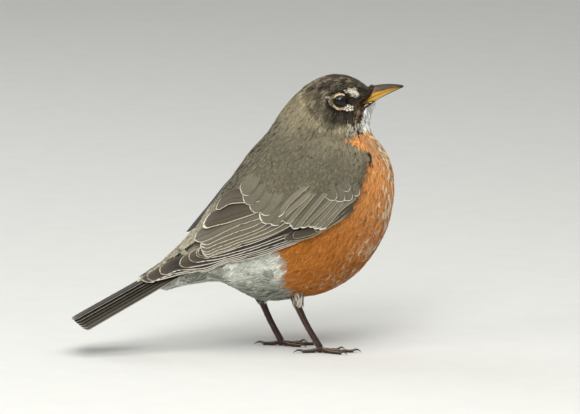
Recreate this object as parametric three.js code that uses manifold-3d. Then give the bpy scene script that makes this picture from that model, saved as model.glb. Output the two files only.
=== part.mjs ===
// An American robin (Turdus migratorius), life size, standing alert with its tail low.
// Millimetres, +Z up, the bill towards +X, the bird's left side towards +Y.
// The feathered body is one loft between a back line and a belly line, parted into head, neck,
// trunk and rump by thin cuts. The folded wings are shells over that loft.

import * as THREE from "three";
import Module from "manifold-3d";
import { mergeVertices } from "three/addons/utils/BufferGeometryUtils.js";

const wasm = await Module();
wasm.setup();

// ---- driving dimensions ------------------------------------------------------------------

const CLEARANCE = 0.3; // between pieces that touch
const SIDES = { left: 1, right: -1 }; // sign of Y
const AROUND = 24; // facets round the body
const RINGS_PER_STATION = 2; // rings of the loft between two stations
const FULLNESS = 0.88; // below 1 the body's sections are squarer than an ellipse

// The body's sections from the bill's root to the tail's root. Each chord runs from the back
// line to the belly line; the section is half-width wide each side of it, and `widest` says how
// far down the chord that is.
const BODY = [
  // back x, z    belly x, z     half-width, widest
  [43.0, 156.0, 46.0, 151.0, 3.0, 0.5], // feathers at the bill's root
  [40.0, 159.0, 45.5, 147.0, 5.4, 0.5], // lores
  [34.5, 162.7, 43.3, 142.7, 8.2, 0.5], // front of the eyes
  [27.3, 165.5, 42.4, 138.2, 10.5, 0.52], // crown
  [18.2, 165.9, 42.3, 133.6, 12.2, 0.54], // ear coverts
  [7.3, 162.0, 43.9, 129.0, 13.8, 0.56], // nape
  [-2.4, 154.7, 48.5, 123.5, 17.0, 0.57],
  [-10.9, 144.8, 53.3, 115.5, 22.2, 0.56], // neck
  [-20.0, 131.0, 56.3, 103.9, 28.0, 0.54],
  [-30.3, 119.1, 55.7, 87.5, 31.5, 0.52], // shoulders
  [-39.4, 106.9, 50.3, 68.8, 33.0, 0.52], // breast
  [-48.5, 94.6, 36.4, 48.4, 32.0, 0.52],
  [-57.6, 83.3, 17.0, 35.8, 28.5, 0.54], // belly
  [-66.0, 72.5, -4.8, 31.7, 24.0, 0.55],
  [-73.9, 63.9, -25.4, 31.8, 18.5, 0.54], // vent
  [-81.8, 55.9, -43.6, 42.3, 13.0, 0.5],
  [-90.3, 49.0, -63.0, 42.1, 9.4, 0.5], // tail coverts
  [-98.2, 42.8, -80.0, 38.5, 6.2, 0.5],
];
const HEAD_END = 5.3; // stations at which the body is parted
const NECK_END = 7.7;
const TRUNK_END = 14.2;
const HALF_CUT = 0.015; // half the gap between two body parts, in stations

// Bill: its two halves meet along the line from the gape to the tip.
const GAPE = [36.3, 148.8];
const BILL_TIP = [62.4, 158.0];
const BILL_BOW = 1.2; // the meeting line's rise at mid-length
const BILL_HALF_WIDTH = 3.5; // at the nostrils
const GAPE_HALF_WIDTH = 5.6;
const NOSTRIL_SHARE = 0.4; // of the way from the gape to the tip
const BILL_TAPER = 1.7; // higher keeps the bill wide for longer ahead of the nostrils
const BILL_SLIT = 0.15; // each half's distance from the meeting line
const BILL_RAKE = 0.35; // the sections lean back by this much of their height
const BILL_THINNEST = 0.25; // depth of each half at its tip
const BILL_ARCH_FULLNESS = 0.8; // below 1 a half's section is squarer than an ellipse
const BILL_RINGS = 10;
const BILL_ARCH = 8; // points across each half
// Each half's depth: at the gape, at its deepest, where that is, and how it falls to the tip.
const UPPER_BILL = { root: 1.2, depth: 5.8, deepest: 0.3, fall: 0.72, reach: 1.02 };
const LOWER_BILL = { root: 1.0, depth: 3.3, deepest: 0.25, fall: 0.85, reach: 1.03 };

// Eyes
const EYE_RADIUS = 4.7;
const EYE_CENTRE = [23.0, 8.0, 151.1];
const ORBIT_RADIUS = 8.5; // of the shallow dish round each eye
const ORBIT_CENTRE = [23.2, 19.5, 151.1];

// Folded wings: outlines in the side view, and how far each part stands off the body.
const WING = {
  coverts: {
    stand: 3.6,
    outline: [
      [15.4, 127.5],
      [28.6, 125.4],
      [36.6, 122.4],
      [37.2, 117.0],
      [33.2, 110.0],
      [33.4, 100.6],
      [32.8, 95.6],
      [19.6, 85.0],
      [6.1, 82.0],
      [-6.3, 79.6],
      [-19.4, 82.4],
      [-27.0, 88.2],
      [-33.7, 92.0],
      [-36.2, 101.5],
      [-25.3, 118.0],
      [-8.6, 126.8],
    ],
  },
  secondaries: {
    stand: 2.9,
    outline: [
      [32.2, 94.2],
      [19.6, 84.5],
      [6.1, 81.5],
      [-6.3, 79.1],
      [-19.5, 81.9],
      [-27.2, 87.7],
      [-34.1, 91.6],
      [-36.7, 100.9],
      [-42.4, 98.4],
      [-49.8, 91.5],
      [-60.4, 81.3],
      [-65.2, 70.9],
      [-63.8, 66.6],
      [-54.3, 63.6],
      [-33.9, 68.6],
      [-11.2, 74.5],
      [7.5, 79.6],
      [25.7, 86.2],
    ],
  },
  primaries: {
    stand: 2.0,
    outline: [
      [25.1, 85.4],
      [7.6, 79.0],
      [-11.2, 73.9],
      [-33.9, 68.0],
      [-54.3, 63.0],
      [-64.4, 66.0],
      [-72.3, 57.6],
      [-83.0, 51.4],
      [-97.4, 45.6],
      [-83.5, 48.5],
      [-63.1, 53.9],
      [-33.9, 60.2],
      [-10.6, 67.8],
      [7.3, 77.0],
      [16.4, 80.4],
    ],
  },
};
const WING_CURVE_POINTS = 27; // points on each smoothed outline
const WING_HALF_GAP = 3.0; // bare strip of the rump between the two wings, each side
const WING_REACH = 60; // farther from the midline than any part of a folded wing
const WING_FRONT_X = 38; // the folded wrist's front
const WING_FRONT_BLEND = 26; // over which the wing comes to its full thickness
const WING_FRONT_THIN = 0.25; // share of the full thickness at the front
const WING_BACK_THIN = 0.35; // and along the back
const WING_BACK_BLEND = [0.15, 1.0]; // radians round the body from the back line

// Tail: twelve feathers, the middle pair on top, each pair lower and farther out.
const TAIL_ROOT = [-82.0, 51.9];
const TAIL_SLOPE = 28.3; // degrees below level
const TAIL_LENGTH = 63.4; // of the middle pair, from TAIL_ROOT
const TAIL_STEP_SHORTER = 0.5; // each pair outwards
const TAIL_VANE_WIDTH = 11.0;
const TAIL_VANE_THICK = 0.7;
const TAIL_VANE_ROOT = 0.45; // share of the width at the root
const TAIL_VANE_CORNER = 4; // length of the rounded corners at the tip
const TAIL_PAIRS = 6;
const TAIL_MIDDLE_OFFSET = 1.3; // of the middle pair from the midline
const TAIL_SPREAD = 1.15; // sideways step from one feather to the next, at the root
const TAIL_FAN = 0.9; // degrees from one feather to the next
const TAIL_DROP = 1.0; // downward step from one feather to the next
const TAIL_ROOF = 5.5; // degrees each feather tips outwards more than the last

// Legs and feet
const HOCK = { left: [-23.6, 13.0, 34.3], right: [-5.5, -13.0, 33.7] };
const FOOT = { left: [-9.7, 14.0, 3.0], right: [10.0, -14.0, 3.0] };
const KNEE = { left: [-10.0, 11.0, 51.0], right: [8.0, -11.5, 51.0] };
const THIGH_RADII = [3.0, 6.6, 9.5]; // hock, middle, knee
const THIGH_FULLNESS = 1.5; // the feathering's bulge ahead of the line from hock to knee
const TARSUS_RADII = [2.1, 1.8, 1.75, 1.9]; // front to back, from hock to foot
const TARSUS_NARROW = 0.7; // of that from side to side
const TARSUS_BOW = 0.4; // the shank's bend backwards at its middle
const TARSUS_SIDES = 10;
const THIGH_SIDES = 14;
const LEG_RINGS = 6;
const TOE_SIDES = 6;
const TOE_RINGS = 5;
const CLAW_RINGS = 4;
const CLAW_ARCH = 0.75; // rise of the claw above the toe
const BALL_RADIUS = 2.0;
const BALL_HEIGHT = 1.7; // of its centre, so that it stands on a small flat
const TOE_START = 2.0; // height at which the toes leave the ball
const ANKLE_HEIGHT = 4.1; // where the shank is parted from the foot
const TOE_SINK = 0.22; // how much of a toe's radius its sole is flattened by
const TOES = [
  // name, bearing from straight ahead (outwards is positive), length, claw length, radius
  { name: "hind", bearing: 172, length: 10.5, claw: 6.2, radius: 1.15 },
  { name: "inner", bearing: -30, length: 13.5, claw: 4.6, radius: 1.0 },
  { name: "middle", bearing: 2, length: 20.0, claw: 5.0, radius: 1.1 },
  { name: "outer", bearing: 32, length: 14.5, claw: 4.6, radius: 1.0 },
];
const FOOT_HEADING = { left: -8, right: 6 }; // degrees outwards from straight ahead

// ---- shapes ------------------------------------------------------------------------------

const point = (x, y, z) => new THREE.Vector3(x, y, z);
const { degToRad: radians, lerp, smoothstep: smooth } = THREE.MathUtils;

// A closed surface through rings of equal point counts, capped by a fan at each end.
function loft(rings) {
  const around = rings[0].length;
  const corners = rings.flat();
  const faces = [];
  for (let r = 0; r + 1 < rings.length; r++) {
    for (let i = 0; i < around; i++) {
      const a = r * around + i;
      const b = r * around + ((i + 1) % around);
      faces.push(a, b, a + around, b, b + around, a + around);
    }
  }
  for (const [ring, turn] of [
    [0, 1],
    [rings.length - 1, -1],
  ]) {
    const middle = rings[ring]
      .reduce((sum, p) => sum.add(p), point(0, 0, 0))
      .divideScalar(around);
    const m = corners.push(middle) - 1;
    for (let i = 0; i < around; i++) {
      const a = ring * around + i;
      const b = ring * around + ((i + 1) % around);
      faces.push(...(turn > 0 ? [m, b, a] : [m, a, b]));
    }
  }
  const geometry = new THREE.BufferGeometry().setFromPoints(corners);
  return geometry.setIndex(faces);
}

function solid(geometry) {
  const bare = geometry.clone();
  bare.deleteAttribute("normal");
  bare.deleteAttribute("uv");
  const merged = mergeVertices(bare, 1e-4);
  const made = new wasm.Manifold(
    new wasm.Mesh({
      numProp: 3,
      vertProperties: new Float32Array(merged.attributes.position.array),
      triVerts: new Uint32Array(merged.index.array),
    }),
  );
  if (made.volume() >= 0) return made;
  const index = merged.index.array;
  for (let i = 0; i < index.length; i += 3) {
    [index[i], index[i + 1]] = [index[i + 1], index[i]];
  }
  return solid(merged);
}

const loftSolid = (rings) => solid(loft(rings));

// The largest of a solid's separate bodies, which drops slivers left by a cut.
function largest(made) {
  const bodies = made.decompose();
  return bodies.reduce((best, b) => (b.volume() > best.volume() ? b : best));
}

function geometryOf(made) {
  const mesh = made.getMesh();
  const positions = new Float32Array(mesh.numVert * 3);
  for (let i = 0; i < mesh.numVert; i++) {
    const at = i * mesh.numProp;
    positions.set(mesh.vertProperties.subarray(at, at + 3), i * 3);
  }
  const geometry = new THREE.BufferGeometry();
  geometry.setAttribute("position", new THREE.BufferAttribute(positions, 3));
  geometry.setIndex(new THREE.BufferAttribute(new Uint32Array(mesh.triVerts), 1));
  geometry.computeVertexNormals();
  return geometry;
}

// A tube of changing radius through a few points; `across` narrows it sideways, along Y.
function taperedTube(points, radii, sides, rings, across = 1) {
  const curve = new THREE.CatmullRomCurve3(points);
  const frames = curve.computeFrenetFrames(rings, false);
  const rows = [];
  for (let r = 0; r <= rings; r++) {
    const share = (r / rings) * (radii.length - 1);
    const low = Math.min(Math.floor(share), radii.length - 2);
    const radius = lerp(radii[low], radii[low + 1], share - low);
    const centre = curve.getPointAt(r / rings);
    rows.push(
      Array.from({ length: sides }, (_, i) => {
        const angle = (2 * Math.PI * i) / sides;
        const out = frames.normals[r]
          .clone()
          .multiplyScalar(radius * Math.cos(angle))
          .addScaledVector(frames.binormals[r], radius * Math.sin(angle));
        return out.setY(out.y * across).add(centre);
      }),
    );
  }
  return loftSolid(rows);
}

// ---- the feathered body ------------------------------------------------------------------

const line = (columns) =>
  new THREE.CatmullRomCurve3(
    BODY.map((row) => point(row[columns[0]], 0, row[columns[1]])),
    false,
    "catmullrom",
    0.5,
  );
const BACK = line([0, 1]);
const BELLY = line([2, 3]);
const GIRTH = line([4, 5]);
const STATIONS = BODY.length - 1;

// One section of the body. `growth` says how far each point stands off it, outwards.
function section(station, growth) {
  const share = station / STATIONS;
  const back = BACK.getPoint(share);
  const belly = BELLY.getPoint(share);
  const girth = GIRTH.getPoint(share);
  const upwards = back.clone().sub(belly).normalize();
  const bend = Math.log(girth.z) / Math.log(0.5); // puts the widest place at its share
  return Array.from({ length: AROUND }, (_, i) => {
    const angle = (2 * Math.PI * i) / AROUND;
    const down = Math.pow((1 - Math.cos(angle)) / 2, bend);
    const side = Math.sign(Math.sin(angle)) * Math.pow(Math.abs(Math.sin(angle)), FULLNESS);
    const p = back.clone().lerp(belly, down).setY(girth.x * side);
    const grow = growth(p, angle);
    return p.addScaledVector(upwards, grow * Math.cos(angle)).add(point(0, grow * Math.sin(angle), 0));
  });
}

// Rings stand at the same places whichever stretch is asked for, so neighbouring facets agree.
function bodyBetween(from, to, growth = () => 0) {
  const stops = [from];
  for (let i = 0; i <= STATIONS * RINGS_PER_STATION; i++) {
    const stop = i / RINGS_PER_STATION;
    if (stop > from + 0.1 && stop < to - 0.1) stops.push(stop);
  }
  stops.push(to);
  return loftSolid(stops.map((stop) => section(stop, growth)));
}

// The body with the gap that its wings and legs keep from it.
const bodyRoom = bodyBetween(0, STATIONS, () => CLEARANCE);

// ---- the bill ----------------------------------------------------------------------------

// The bill's half-width, and a half's depth, at a share of the way from the gape to the tip.
function billHalfWidth(share) {
  if (share < NOSTRIL_SHARE) {
    const turn = (share / NOSTRIL_SHARE) * (Math.PI / 2);
    return lerp(GAPE_HALF_WIDTH, BILL_HALF_WIDTH, Math.sin(turn));
  }
  const ahead = (share - NOSTRIL_SHARE) / (1.02 - NOSTRIL_SHARE);
  return BILL_HALF_WIDTH * Math.sqrt(1 - Math.pow(ahead, BILL_TAPER));
}

function billDepth({ root, depth, deepest, fall, reach }, share) {
  if (share < deepest) return lerp(root, depth, smooth(share, 0, deepest));
  const left = 1 - (share - deepest) / (reach - deepest);
  return Math.max(BILL_THINNEST, depth * Math.pow(left, fall));
}

// Half a bill, above (1) or below (-1) the meeting line, or its socket when grown.
function billHalf(upward, form, grow = 0) {
  const rings = [];
  for (let r = 0; r <= BILL_RINGS; r++) {
    const share = r / BILL_RINGS;
    const x = lerp(GAPE[0] - grow, BILL_TIP[0] + grow, share);
    const z = lerp(GAPE[1], BILL_TIP[1], share) + BILL_BOW * Math.sin(Math.PI * share);
    const wide = billHalfWidth(share) + 1.5 * grow;
    const depth = billDepth(form, share) + 2 * grow;
    rings.push(
      Array.from({ length: BILL_ARCH }, (_, i) => {
        const angle = (Math.PI * i) / (BILL_ARCH - 1);
        const arch = Math.pow(Math.sin(angle), BILL_ARCH_FULLNESS);
        const up = upward * (BILL_SLIT - grow + depth * arch);
        return point(x - BILL_RAKE * up, wide * Math.cos(angle), z + up);
      }),
    );
  }
  return loftSolid(rings);
}

// ---- the wings ---------------------------------------------------------------------------

// A prism across the bird with a smoothed outline in the side view, on the +Y side.
function sidePrism(outline) {
  const curve = new THREE.CatmullRomCurve3(
    outline.map(([x, z]) => point(x, z, 0)),
    true,
    "catmullrom",
    0.35,
  );
  const shape = new THREE.Shape(
    curve.getPoints(WING_CURVE_POINTS).slice(0, -1).map((p) => new THREE.Vector2(p.x, p.y)),
  );
  const prism = new THREE.ExtrudeGeometry(shape, { depth: WING_REACH, bevelEnabled: false });
  prism.rotateX(Math.PI / 2).translate(0, WING_REACH + WING_HALF_GAP, 0);
  return solid(prism);
}

// The shell thins towards the breast, whose feathers cover its front edge, and towards the back.
function wingStand(stand) {
  return (p, angle) => {
    const fromFront = smooth(WING_FRONT_X - p.x, 0, WING_FRONT_BLEND);
    const fromBack = smooth(Math.min(angle, 2 * Math.PI - angle), ...WING_BACK_BLEND);
    const edge = lerp(WING_FRONT_THIN, 1, fromFront) * lerp(WING_BACK_THIN, 1, fromBack);
    return CLEARANCE + stand * edge;
  };
}

// The parts of the left wing, each cut back from the ones that lie over it.
function wingParts() {
  const parts = {};
  const taken = [];
  for (const [name, { stand, outline }] of Object.entries(WING)) {
    const shell = bodyBetween(0, STATIONS, wingStand(stand));
    let made = shell.intersect(sidePrism(outline)).subtract(bodyRoom);
    for (const other of taken) made = made.subtract(other);
    parts[name] = largest(made);
    taken.push(sidePrism(outline));
  }
  return parts;
}

// ---- the tail ----------------------------------------------------------------------------

// One tail feather, lying along +X from the origin, its vane widening to a square-cut round tip.
function tailVane(length, grow) {
  const half = TAIL_VANE_WIDTH / 2 + grow;
  const end = length + grow;
  const shape = new THREE.Shape();
  shape.moveTo(-grow, -half * TAIL_VANE_ROOT);
  shape.lineTo(end * 0.55, -half);
  shape.lineTo(end - TAIL_VANE_CORNER, -half * 0.92);
  shape.quadraticCurveTo(end + 1, -half * 0.55, end, 0);
  shape.quadraticCurveTo(end + 1, half * 0.55, end - TAIL_VANE_CORNER, half * 0.92);
  shape.lineTo(end * 0.55, half);
  shape.lineTo(-grow, half * TAIL_VANE_ROOT);
  const vane = new THREE.ExtrudeGeometry(shape, {
    depth: TAIL_VANE_THICK + 2 * grow,
    bevelEnabled: false,
    curveSegments: 2,
  });
  return vane.translate(0, 0, -TAIL_VANE_THICK - grow);
}

function tailSolid(grow = 0) {
  const pieces = [];
  for (let pair = 0; pair < TAIL_PAIRS; pair++) {
    for (const side of Object.values(SIDES)) {
      const vane = tailVane(TAIL_LENGTH - TAIL_STEP_SHORTER * pair, grow);
      vane.rotateX(-side * radians(TAIL_ROOF * (pair + 0.5)));
      vane.rotateZ(side * radians(TAIL_FAN * pair));
      vane.translate(0, side * (TAIL_MIDDLE_OFFSET + TAIL_SPREAD * pair), -TAIL_DROP * pair);
      vane.rotateY(radians(TAIL_SLOPE)).rotateZ(Math.PI);
      pieces.push(solid(vane));
    }
  }
  const tail = pieces.reduce((sum, piece) => sum.add(piece));
  return largest(tail.translate([TAIL_ROOT[0], 0, TAIL_ROOT[1]]));
}

// ---- legs and feet -----------------------------------------------------------------------

const blockAt = (size, centre) => {
  const box = new THREE.BoxGeometry(...size);
  return solid(box.translate(...centre));
};
const UNDER_FLOOR = blockAt([400, 400, 20], [0, 0, -10]);

function thigh(side) {
  const hock = point(...HOCK[side]);
  const knee = point(...KNEE[side]);
  const start = hock.clone().lerp(knee, -0.06);
  const middle = hock.clone().lerp(knee, 0.45).add(point(THIGH_FULLNESS, 0, 0));
  return taperedTube([start, middle, knee], THIGH_RADII, THIGH_SIDES, LEG_RINGS);
}

function tarsus(side) {
  const hock = point(...HOCK[side]);
  const foot = point(...FOOT[side]);
  const top = foot.clone().lerp(hock, 0.985);
  const middle = foot.clone().lerp(hock, 0.5).add(point(-TARSUS_BOW, 0, 0));
  return taperedTube([top, middle, foot], TARSUS_RADII, TARSUS_SIDES, LEG_RINGS, TARSUS_NARROW);
}

// A toe runs from the foot's pad along the floor; its claw arches down from the toe's end.
function toe(side, { bearing, length, claw, radius }) {
  const heading = radians((FOOT_HEADING[side] + bearing) * SIDES[side]);
  const ahead = point(Math.cos(heading), Math.sin(heading), 0);
  const pad = point(FOOT[side][0], FOOT[side][1], 0);
  const at = (distance, height) => pad.clone().addScaledVector(ahead, distance).setZ(height);
  const rest = radius * (1 - TOE_SINK);
  const digit = taperedTube(
    [
      at(0, TOE_START),
      at(length * 0.25, rest + 0.5),
      at(length * 0.55, rest),
      at(length, rest),
    ],
    [radius * 1.25, radius * 1.15, radius, radius, radius * 0.82],
    TOE_SIDES,
    TOE_RINGS,
  );
  const horn = (grow) =>
    taperedTube(
      [
        at(length - 0.4 - grow, rest + 0.1),
        at(length + claw * 0.35, rest + CLAW_ARCH),
        at(length + claw * 0.75, rest + 0.2),
        at(length + claw * 0.95, 0.35),
      ],
      [radius * 0.72 + grow, radius * 0.62 + grow, radius * 0.36 + grow, 0.25 + grow],
      TOE_SIDES,
      CLAW_RINGS,
    ).subtract(UNDER_FLOOR);
  return { digit: digit.subtract(UNDER_FLOOR), claw: horn(0), socket: horn(CLEARANCE) };
}

// The four toes joined at the ball of the foot, with a socket for each claw.
function footParts(side) {
  const toes = TOES.map((t) => toe(side, t));
  const [x, y] = FOOT[side];
  const pad = new THREE.SphereGeometry(BALL_RADIUS, 10, 8).rotateX(Math.PI / 2);
  const middle = solid(pad.translate(x, y, BALL_HEIGHT)).subtract(UNDER_FLOOR);
  const joined = toes.reduce((sum, t) => sum.add(t.digit), middle);
  return {
    foot: largest(toes.reduce((rest, t) => rest.subtract(t.socket), joined)),
    claws: toes.map((t) => largest(t.claw)),
    slit: blockAt([8, 8, CLEARANCE], [x, y, ANKLE_HEIGHT]),
  };
}

// ---- materials ---------------------------------------------------------------------------

const material = (color, roughness = 0.8) => new THREE.MeshStandardMaterial({ color, roughness });
const FINISH = {
  head: material(0x4a4741),
  neck: material(0x77705f),
  trunk: material(0xc0682c),
  rump: material(0xb9b8ae),
  wing: material(0x6f6b62),
  quills: material(0x55504a),
  tail: material(0x4a4542),
  bill: material(0xc9952f, 0.4),
  eye: material(0x120d0a, 0.08),
  thigh: material(0xa9a598),
  leg: material(0x3a2c26, 0.5),
  claw: material(0x1d1917, 0.35),
};

// ---- assembly ----------------------------------------------------------------------------

const robin = new THREE.Group();

function add(name, made, finish) {
  const mesh = new THREE.Mesh(geometryOf(made), finish);
  mesh.name = name;
  robin.add(mesh);
}

const ball = (radius, side, [x, y, z]) =>
  solid(new THREE.SphereGeometry(radius, 13, 8).translate(x, SIDES[side] * y, z));

let head = bodyBetween(0, HEAD_END - HALF_CUT)
  .subtract(billHalf(1, UPPER_BILL, CLEARANCE))
  .subtract(billHalf(-1, LOWER_BILL, CLEARANCE));
for (const side of Object.keys(SIDES)) {
  const orbit = ball(ORBIT_RADIUS, side, ORBIT_CENTRE);
  head = head.subtract(orbit).subtract(ball(EYE_RADIUS + CLEARANCE, side, EYE_CENTRE));
  add(`eye_${side}`, ball(EYE_RADIUS, side, EYE_CENTRE), FINISH.eye);
}
add("head", largest(head), FINISH.head);
add("bill_upper", billHalf(1, UPPER_BILL), FINISH.bill);
add("bill_lower", billHalf(-1, LOWER_BILL), FINISH.bill);
add("neck", bodyBetween(HEAD_END + HALF_CUT, NECK_END - HALF_CUT), FINISH.neck);
add("trunk", bodyBetween(NECK_END + HALF_CUT, TRUNK_END - HALF_CUT), FINISH.trunk);

const tail = tailSolid();
const tailRoom = tailSolid(CLEARANCE);
const rump = bodyBetween(TRUNK_END + HALF_CUT, STATIONS).subtract(tailRoom);
add("rump", largest(rump), FINISH.rump);

const wing = wingParts();
for (const side of Object.keys(SIDES)) {
  for (const [part, made] of Object.entries(wing)) {
    const placed = side === "left" ? made : made.mirror([0, 1, 0]);
    const finish = part === "coverts" ? FINISH.wing : FINISH.quills;
    add(`wing_${side}_${part}`, largest(placed.subtract(tailRoom)), finish);
  }
}
add("tail", tail, FINISH.tail);

for (const side of Object.keys(SIDES)) {
  const { foot, claws, slit } = footParts(side);
  const shank = tarsus(side);
  const upper = thigh(side);
  add(`thigh_${side}`, largest(upper.subtract(bodyRoom)), FINISH.thigh);
  add(`tarsus_${side}`, largest(shank.subtract(upper).subtract(foot).subtract(slit)), FINISH.leg);
  add(`foot_${side}`, foot, FINISH.leg);
  TOES.forEach((t, i) => add(`claw_${side}_${t.name}`, claws[i], FINISH.claw));
}

// The origin is on the floor, below the middle of the bird's length.
const bounds = new THREE.Box3().setFromObject(robin);
robin.position.set(-(bounds.min.x + bounds.max.x) / 2, 0, -bounds.min.z);

export default robin;
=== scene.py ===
"""An American robin, life size, standing: skin, feathers, bill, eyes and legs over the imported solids.

Lengths are in millimetres in the part's source frame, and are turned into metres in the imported
frame when a mesh is made. A place on the feathered body is (station, angle): stations run from the
bill's root to the tail's root, and angles go round the body from the back line, 0, down the left
side to the belly line, pi.
"""

import math

import bpy
import numpy as np
from mathutils import Matrix, Vector


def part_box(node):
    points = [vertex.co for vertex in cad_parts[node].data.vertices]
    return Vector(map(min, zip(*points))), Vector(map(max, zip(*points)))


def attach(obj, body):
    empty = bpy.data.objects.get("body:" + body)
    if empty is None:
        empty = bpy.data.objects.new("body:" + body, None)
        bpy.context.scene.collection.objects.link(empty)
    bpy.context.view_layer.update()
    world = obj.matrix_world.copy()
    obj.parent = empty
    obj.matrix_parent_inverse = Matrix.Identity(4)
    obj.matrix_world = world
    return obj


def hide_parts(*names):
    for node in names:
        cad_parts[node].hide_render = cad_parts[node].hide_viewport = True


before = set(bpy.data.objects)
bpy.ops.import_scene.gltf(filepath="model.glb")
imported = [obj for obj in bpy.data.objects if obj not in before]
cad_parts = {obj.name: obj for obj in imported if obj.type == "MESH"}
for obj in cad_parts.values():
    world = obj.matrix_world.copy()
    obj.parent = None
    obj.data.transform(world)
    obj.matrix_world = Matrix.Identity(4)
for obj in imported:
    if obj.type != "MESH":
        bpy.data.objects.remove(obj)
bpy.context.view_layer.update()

TAU = 2 * math.pi
SIDES = {"left": 1, "right": -1}  # sign of Y

# ---- driving dimensions, as in the part's source ------------------------------------------

FULLNESS = 0.88  # below 1 the body's sections are squarer than an ellipse
BODY = np.array([
    # back x, z    belly x, z     half-width, widest
    (43.0, 156.0, 46.0, 151.0, 3.0, 0.50),  # feathers at the bill's root
    (40.0, 159.0, 45.5, 147.0, 5.4, 0.50),  # lores
    (34.5, 162.7, 43.3, 142.7, 8.2, 0.50),
    (27.3, 165.5, 42.4, 138.2, 10.5, 0.52),  # crown
    (18.2, 165.9, 42.3, 133.6, 12.2, 0.54),  # ear coverts
    (7.3, 162.0, 43.9, 129.0, 13.8, 0.56),  # nape
    (-2.4, 154.7, 48.5, 123.5, 17.0, 0.57),
    (-10.9, 144.8, 53.3, 115.5, 22.2, 0.56),  # neck
    (-20.0, 131.0, 56.3, 103.9, 28.0, 0.54),
    (-30.3, 119.1, 55.7, 87.5, 31.5, 0.52),  # shoulders
    (-39.4, 106.9, 50.3, 68.8, 33.0, 0.52),  # breast
    (-48.5, 94.6, 36.4, 48.4, 32.0, 0.52),
    (-57.6, 83.3, 17.0, 35.8, 28.5, 0.54),  # belly
    (-66.0, 72.5, -4.8, 31.7, 24.0, 0.55),
    (-73.9, 63.9, -25.4, 31.8, 18.5, 0.54),  # vent
    (-81.8, 55.9, -43.6, 42.3, 13.0, 0.50),
    (-90.3, 49.0, -63.0, 42.1, 9.4, 0.50),  # tail coverts
    (-98.2, 42.8, -80.0, 38.5, 6.2, 0.50),
])
STATIONS = len(BODY) - 1
EYE_RADIUS = 4.7
EYE_CENTRE = (23.0, 8.0, 151.1)
EYE_OPENING = (4.1, 3.35)  # half-length and half-height between the lids
GRID_STATIONS = 681
GRID_ANGLES = 361
GAPE_LINE = ((36.8, 149.0), (41.5, 151.0), (47.0, 153.0))
GAPE_SIDE_AT = (36.3, 38.9, 41.5, 44.1, 46.7)
GAPE_SIDE = (5.6, 4.8, 4.1, 3.66, 3.5)  # the bill's half-width there
GAPE_INSET = 0.55
GAPE_BARE = 2.7

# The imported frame's origin is below the middle of the bird's length.
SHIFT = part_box("eye_right")[0].x * 1000 - (EYE_CENTRE[0] - EYE_RADIUS)


def smooth(x, low, high):
    """0 below low, 1 above high, and an S-curve between."""
    s = np.clip((np.asarray(x, float) - low) / (high - low), 0, 1)
    return s * s * (3 - 2 * s)


def mix(a, b, share):
    """a at share 0, b at share 1; share may be an array over a leading axis."""
    share = np.asarray(share, float)
    a, b = np.asarray(a, float), np.asarray(b, float)
    if (a.ndim or b.ndim) and share.ndim and share.shape != a.shape:
        share = share[..., None]
    return a + (b - a) * share


def unit(v):
    return v / np.maximum(np.linalg.norm(v, axis=-1, keepdims=True), 1e-9)


def dot(a, b):
    return np.einsum("...i,...i->...", a, b)


def through(rows, at):
    """A Catmull-Rom curve through the rows, read at each value of `at`, in rows."""
    rows = np.asarray(rows, float)
    at = np.clip(np.asarray(at, float), 0, len(rows) - 1)
    i = np.minimum(at.astype(int), len(rows) - 2)
    w = (at - i)[..., None]
    padded = np.vstack([2 * rows[0] - rows[1], rows, 2 * rows[-1] - rows[-2]])
    before, here, there, after = (padded[i + k] for k in range(4))
    out = (there - before) / 2
    back = (after - here) / 2
    return (
        (2 * w**3 - 3 * w**2 + 1) * here
        + (w**3 - 2 * w**2 + w) * out
        + (3 * w**2 - 2 * w**3) * there
        + (w**3 - w**2) * back
    )


# ---- surfaces -----------------------------------------------------------------------------

class Surface:
    """A closed tube known by a grid of points: stations along, angles round. It is read between
    the grid's points, and gives what a feather needs to lie on it."""

    def __init__(self, stations, points):
        self.stations = stations
        self.points = points
        angles = np.linspace(0, TAU, points.shape[1])
        wrapped = np.concatenate([points[:, -2:-1], points, points[:, 1:2]], axis=1)
        self.along = np.gradient(points, stations, axis=0)
        self.round = (wrapped[:, 2:] - wrapped[:, :-2]) / (2 * angles[1])
        self.normal = unit(np.cross(self.round, self.along))
        middle = points.mean(axis=1, keepdims=True)
        if dot(self.normal, points - middle).mean() < 0:
            self.normal = -self.normal
        self.layers = np.concatenate([points, self.normal, self.along, self.round], axis=-1)

    def read(self, station, angle):
        """Position, normal, and the two tangents, at each (station, angle)."""
        rows, columns = self.points.shape[:2]
        a = np.interp(station, self.stations, np.arange(rows))
        b = (np.asarray(angle) % TAU) / TAU * (columns - 1)
        i = np.minimum(a.astype(int), rows - 2)
        j = np.minimum(b.astype(int), columns - 2)
        u, v = (a - i)[..., None], (b - j)[..., None]
        low = self.layers[i, j] * (1 - v) + self.layers[i, j + 1] * v
        high = self.layers[i + 1, j] * (1 - v) + self.layers[i + 1, j + 1] * v
        found = low * (1 - u) + high * u
        return found[..., :3], unit(found[..., 3:6]), found[..., 6:9], found[..., 9:12]

    def step(self, station, angle, direction):
        """The change of (station, angle) that moves a point by a tangent vector."""
        _, _, along, across = self.read(station, angle)
        aa, ab, bb = dot(along, along), dot(along, across), dot(across, across)
        da, db = dot(along, direction), dot(across, direction)
        size = np.maximum(aa * bb - ab * ab, 1e-6)
        return (bb * da - ab * db) / size, (aa * db - ab * da) / size


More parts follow.
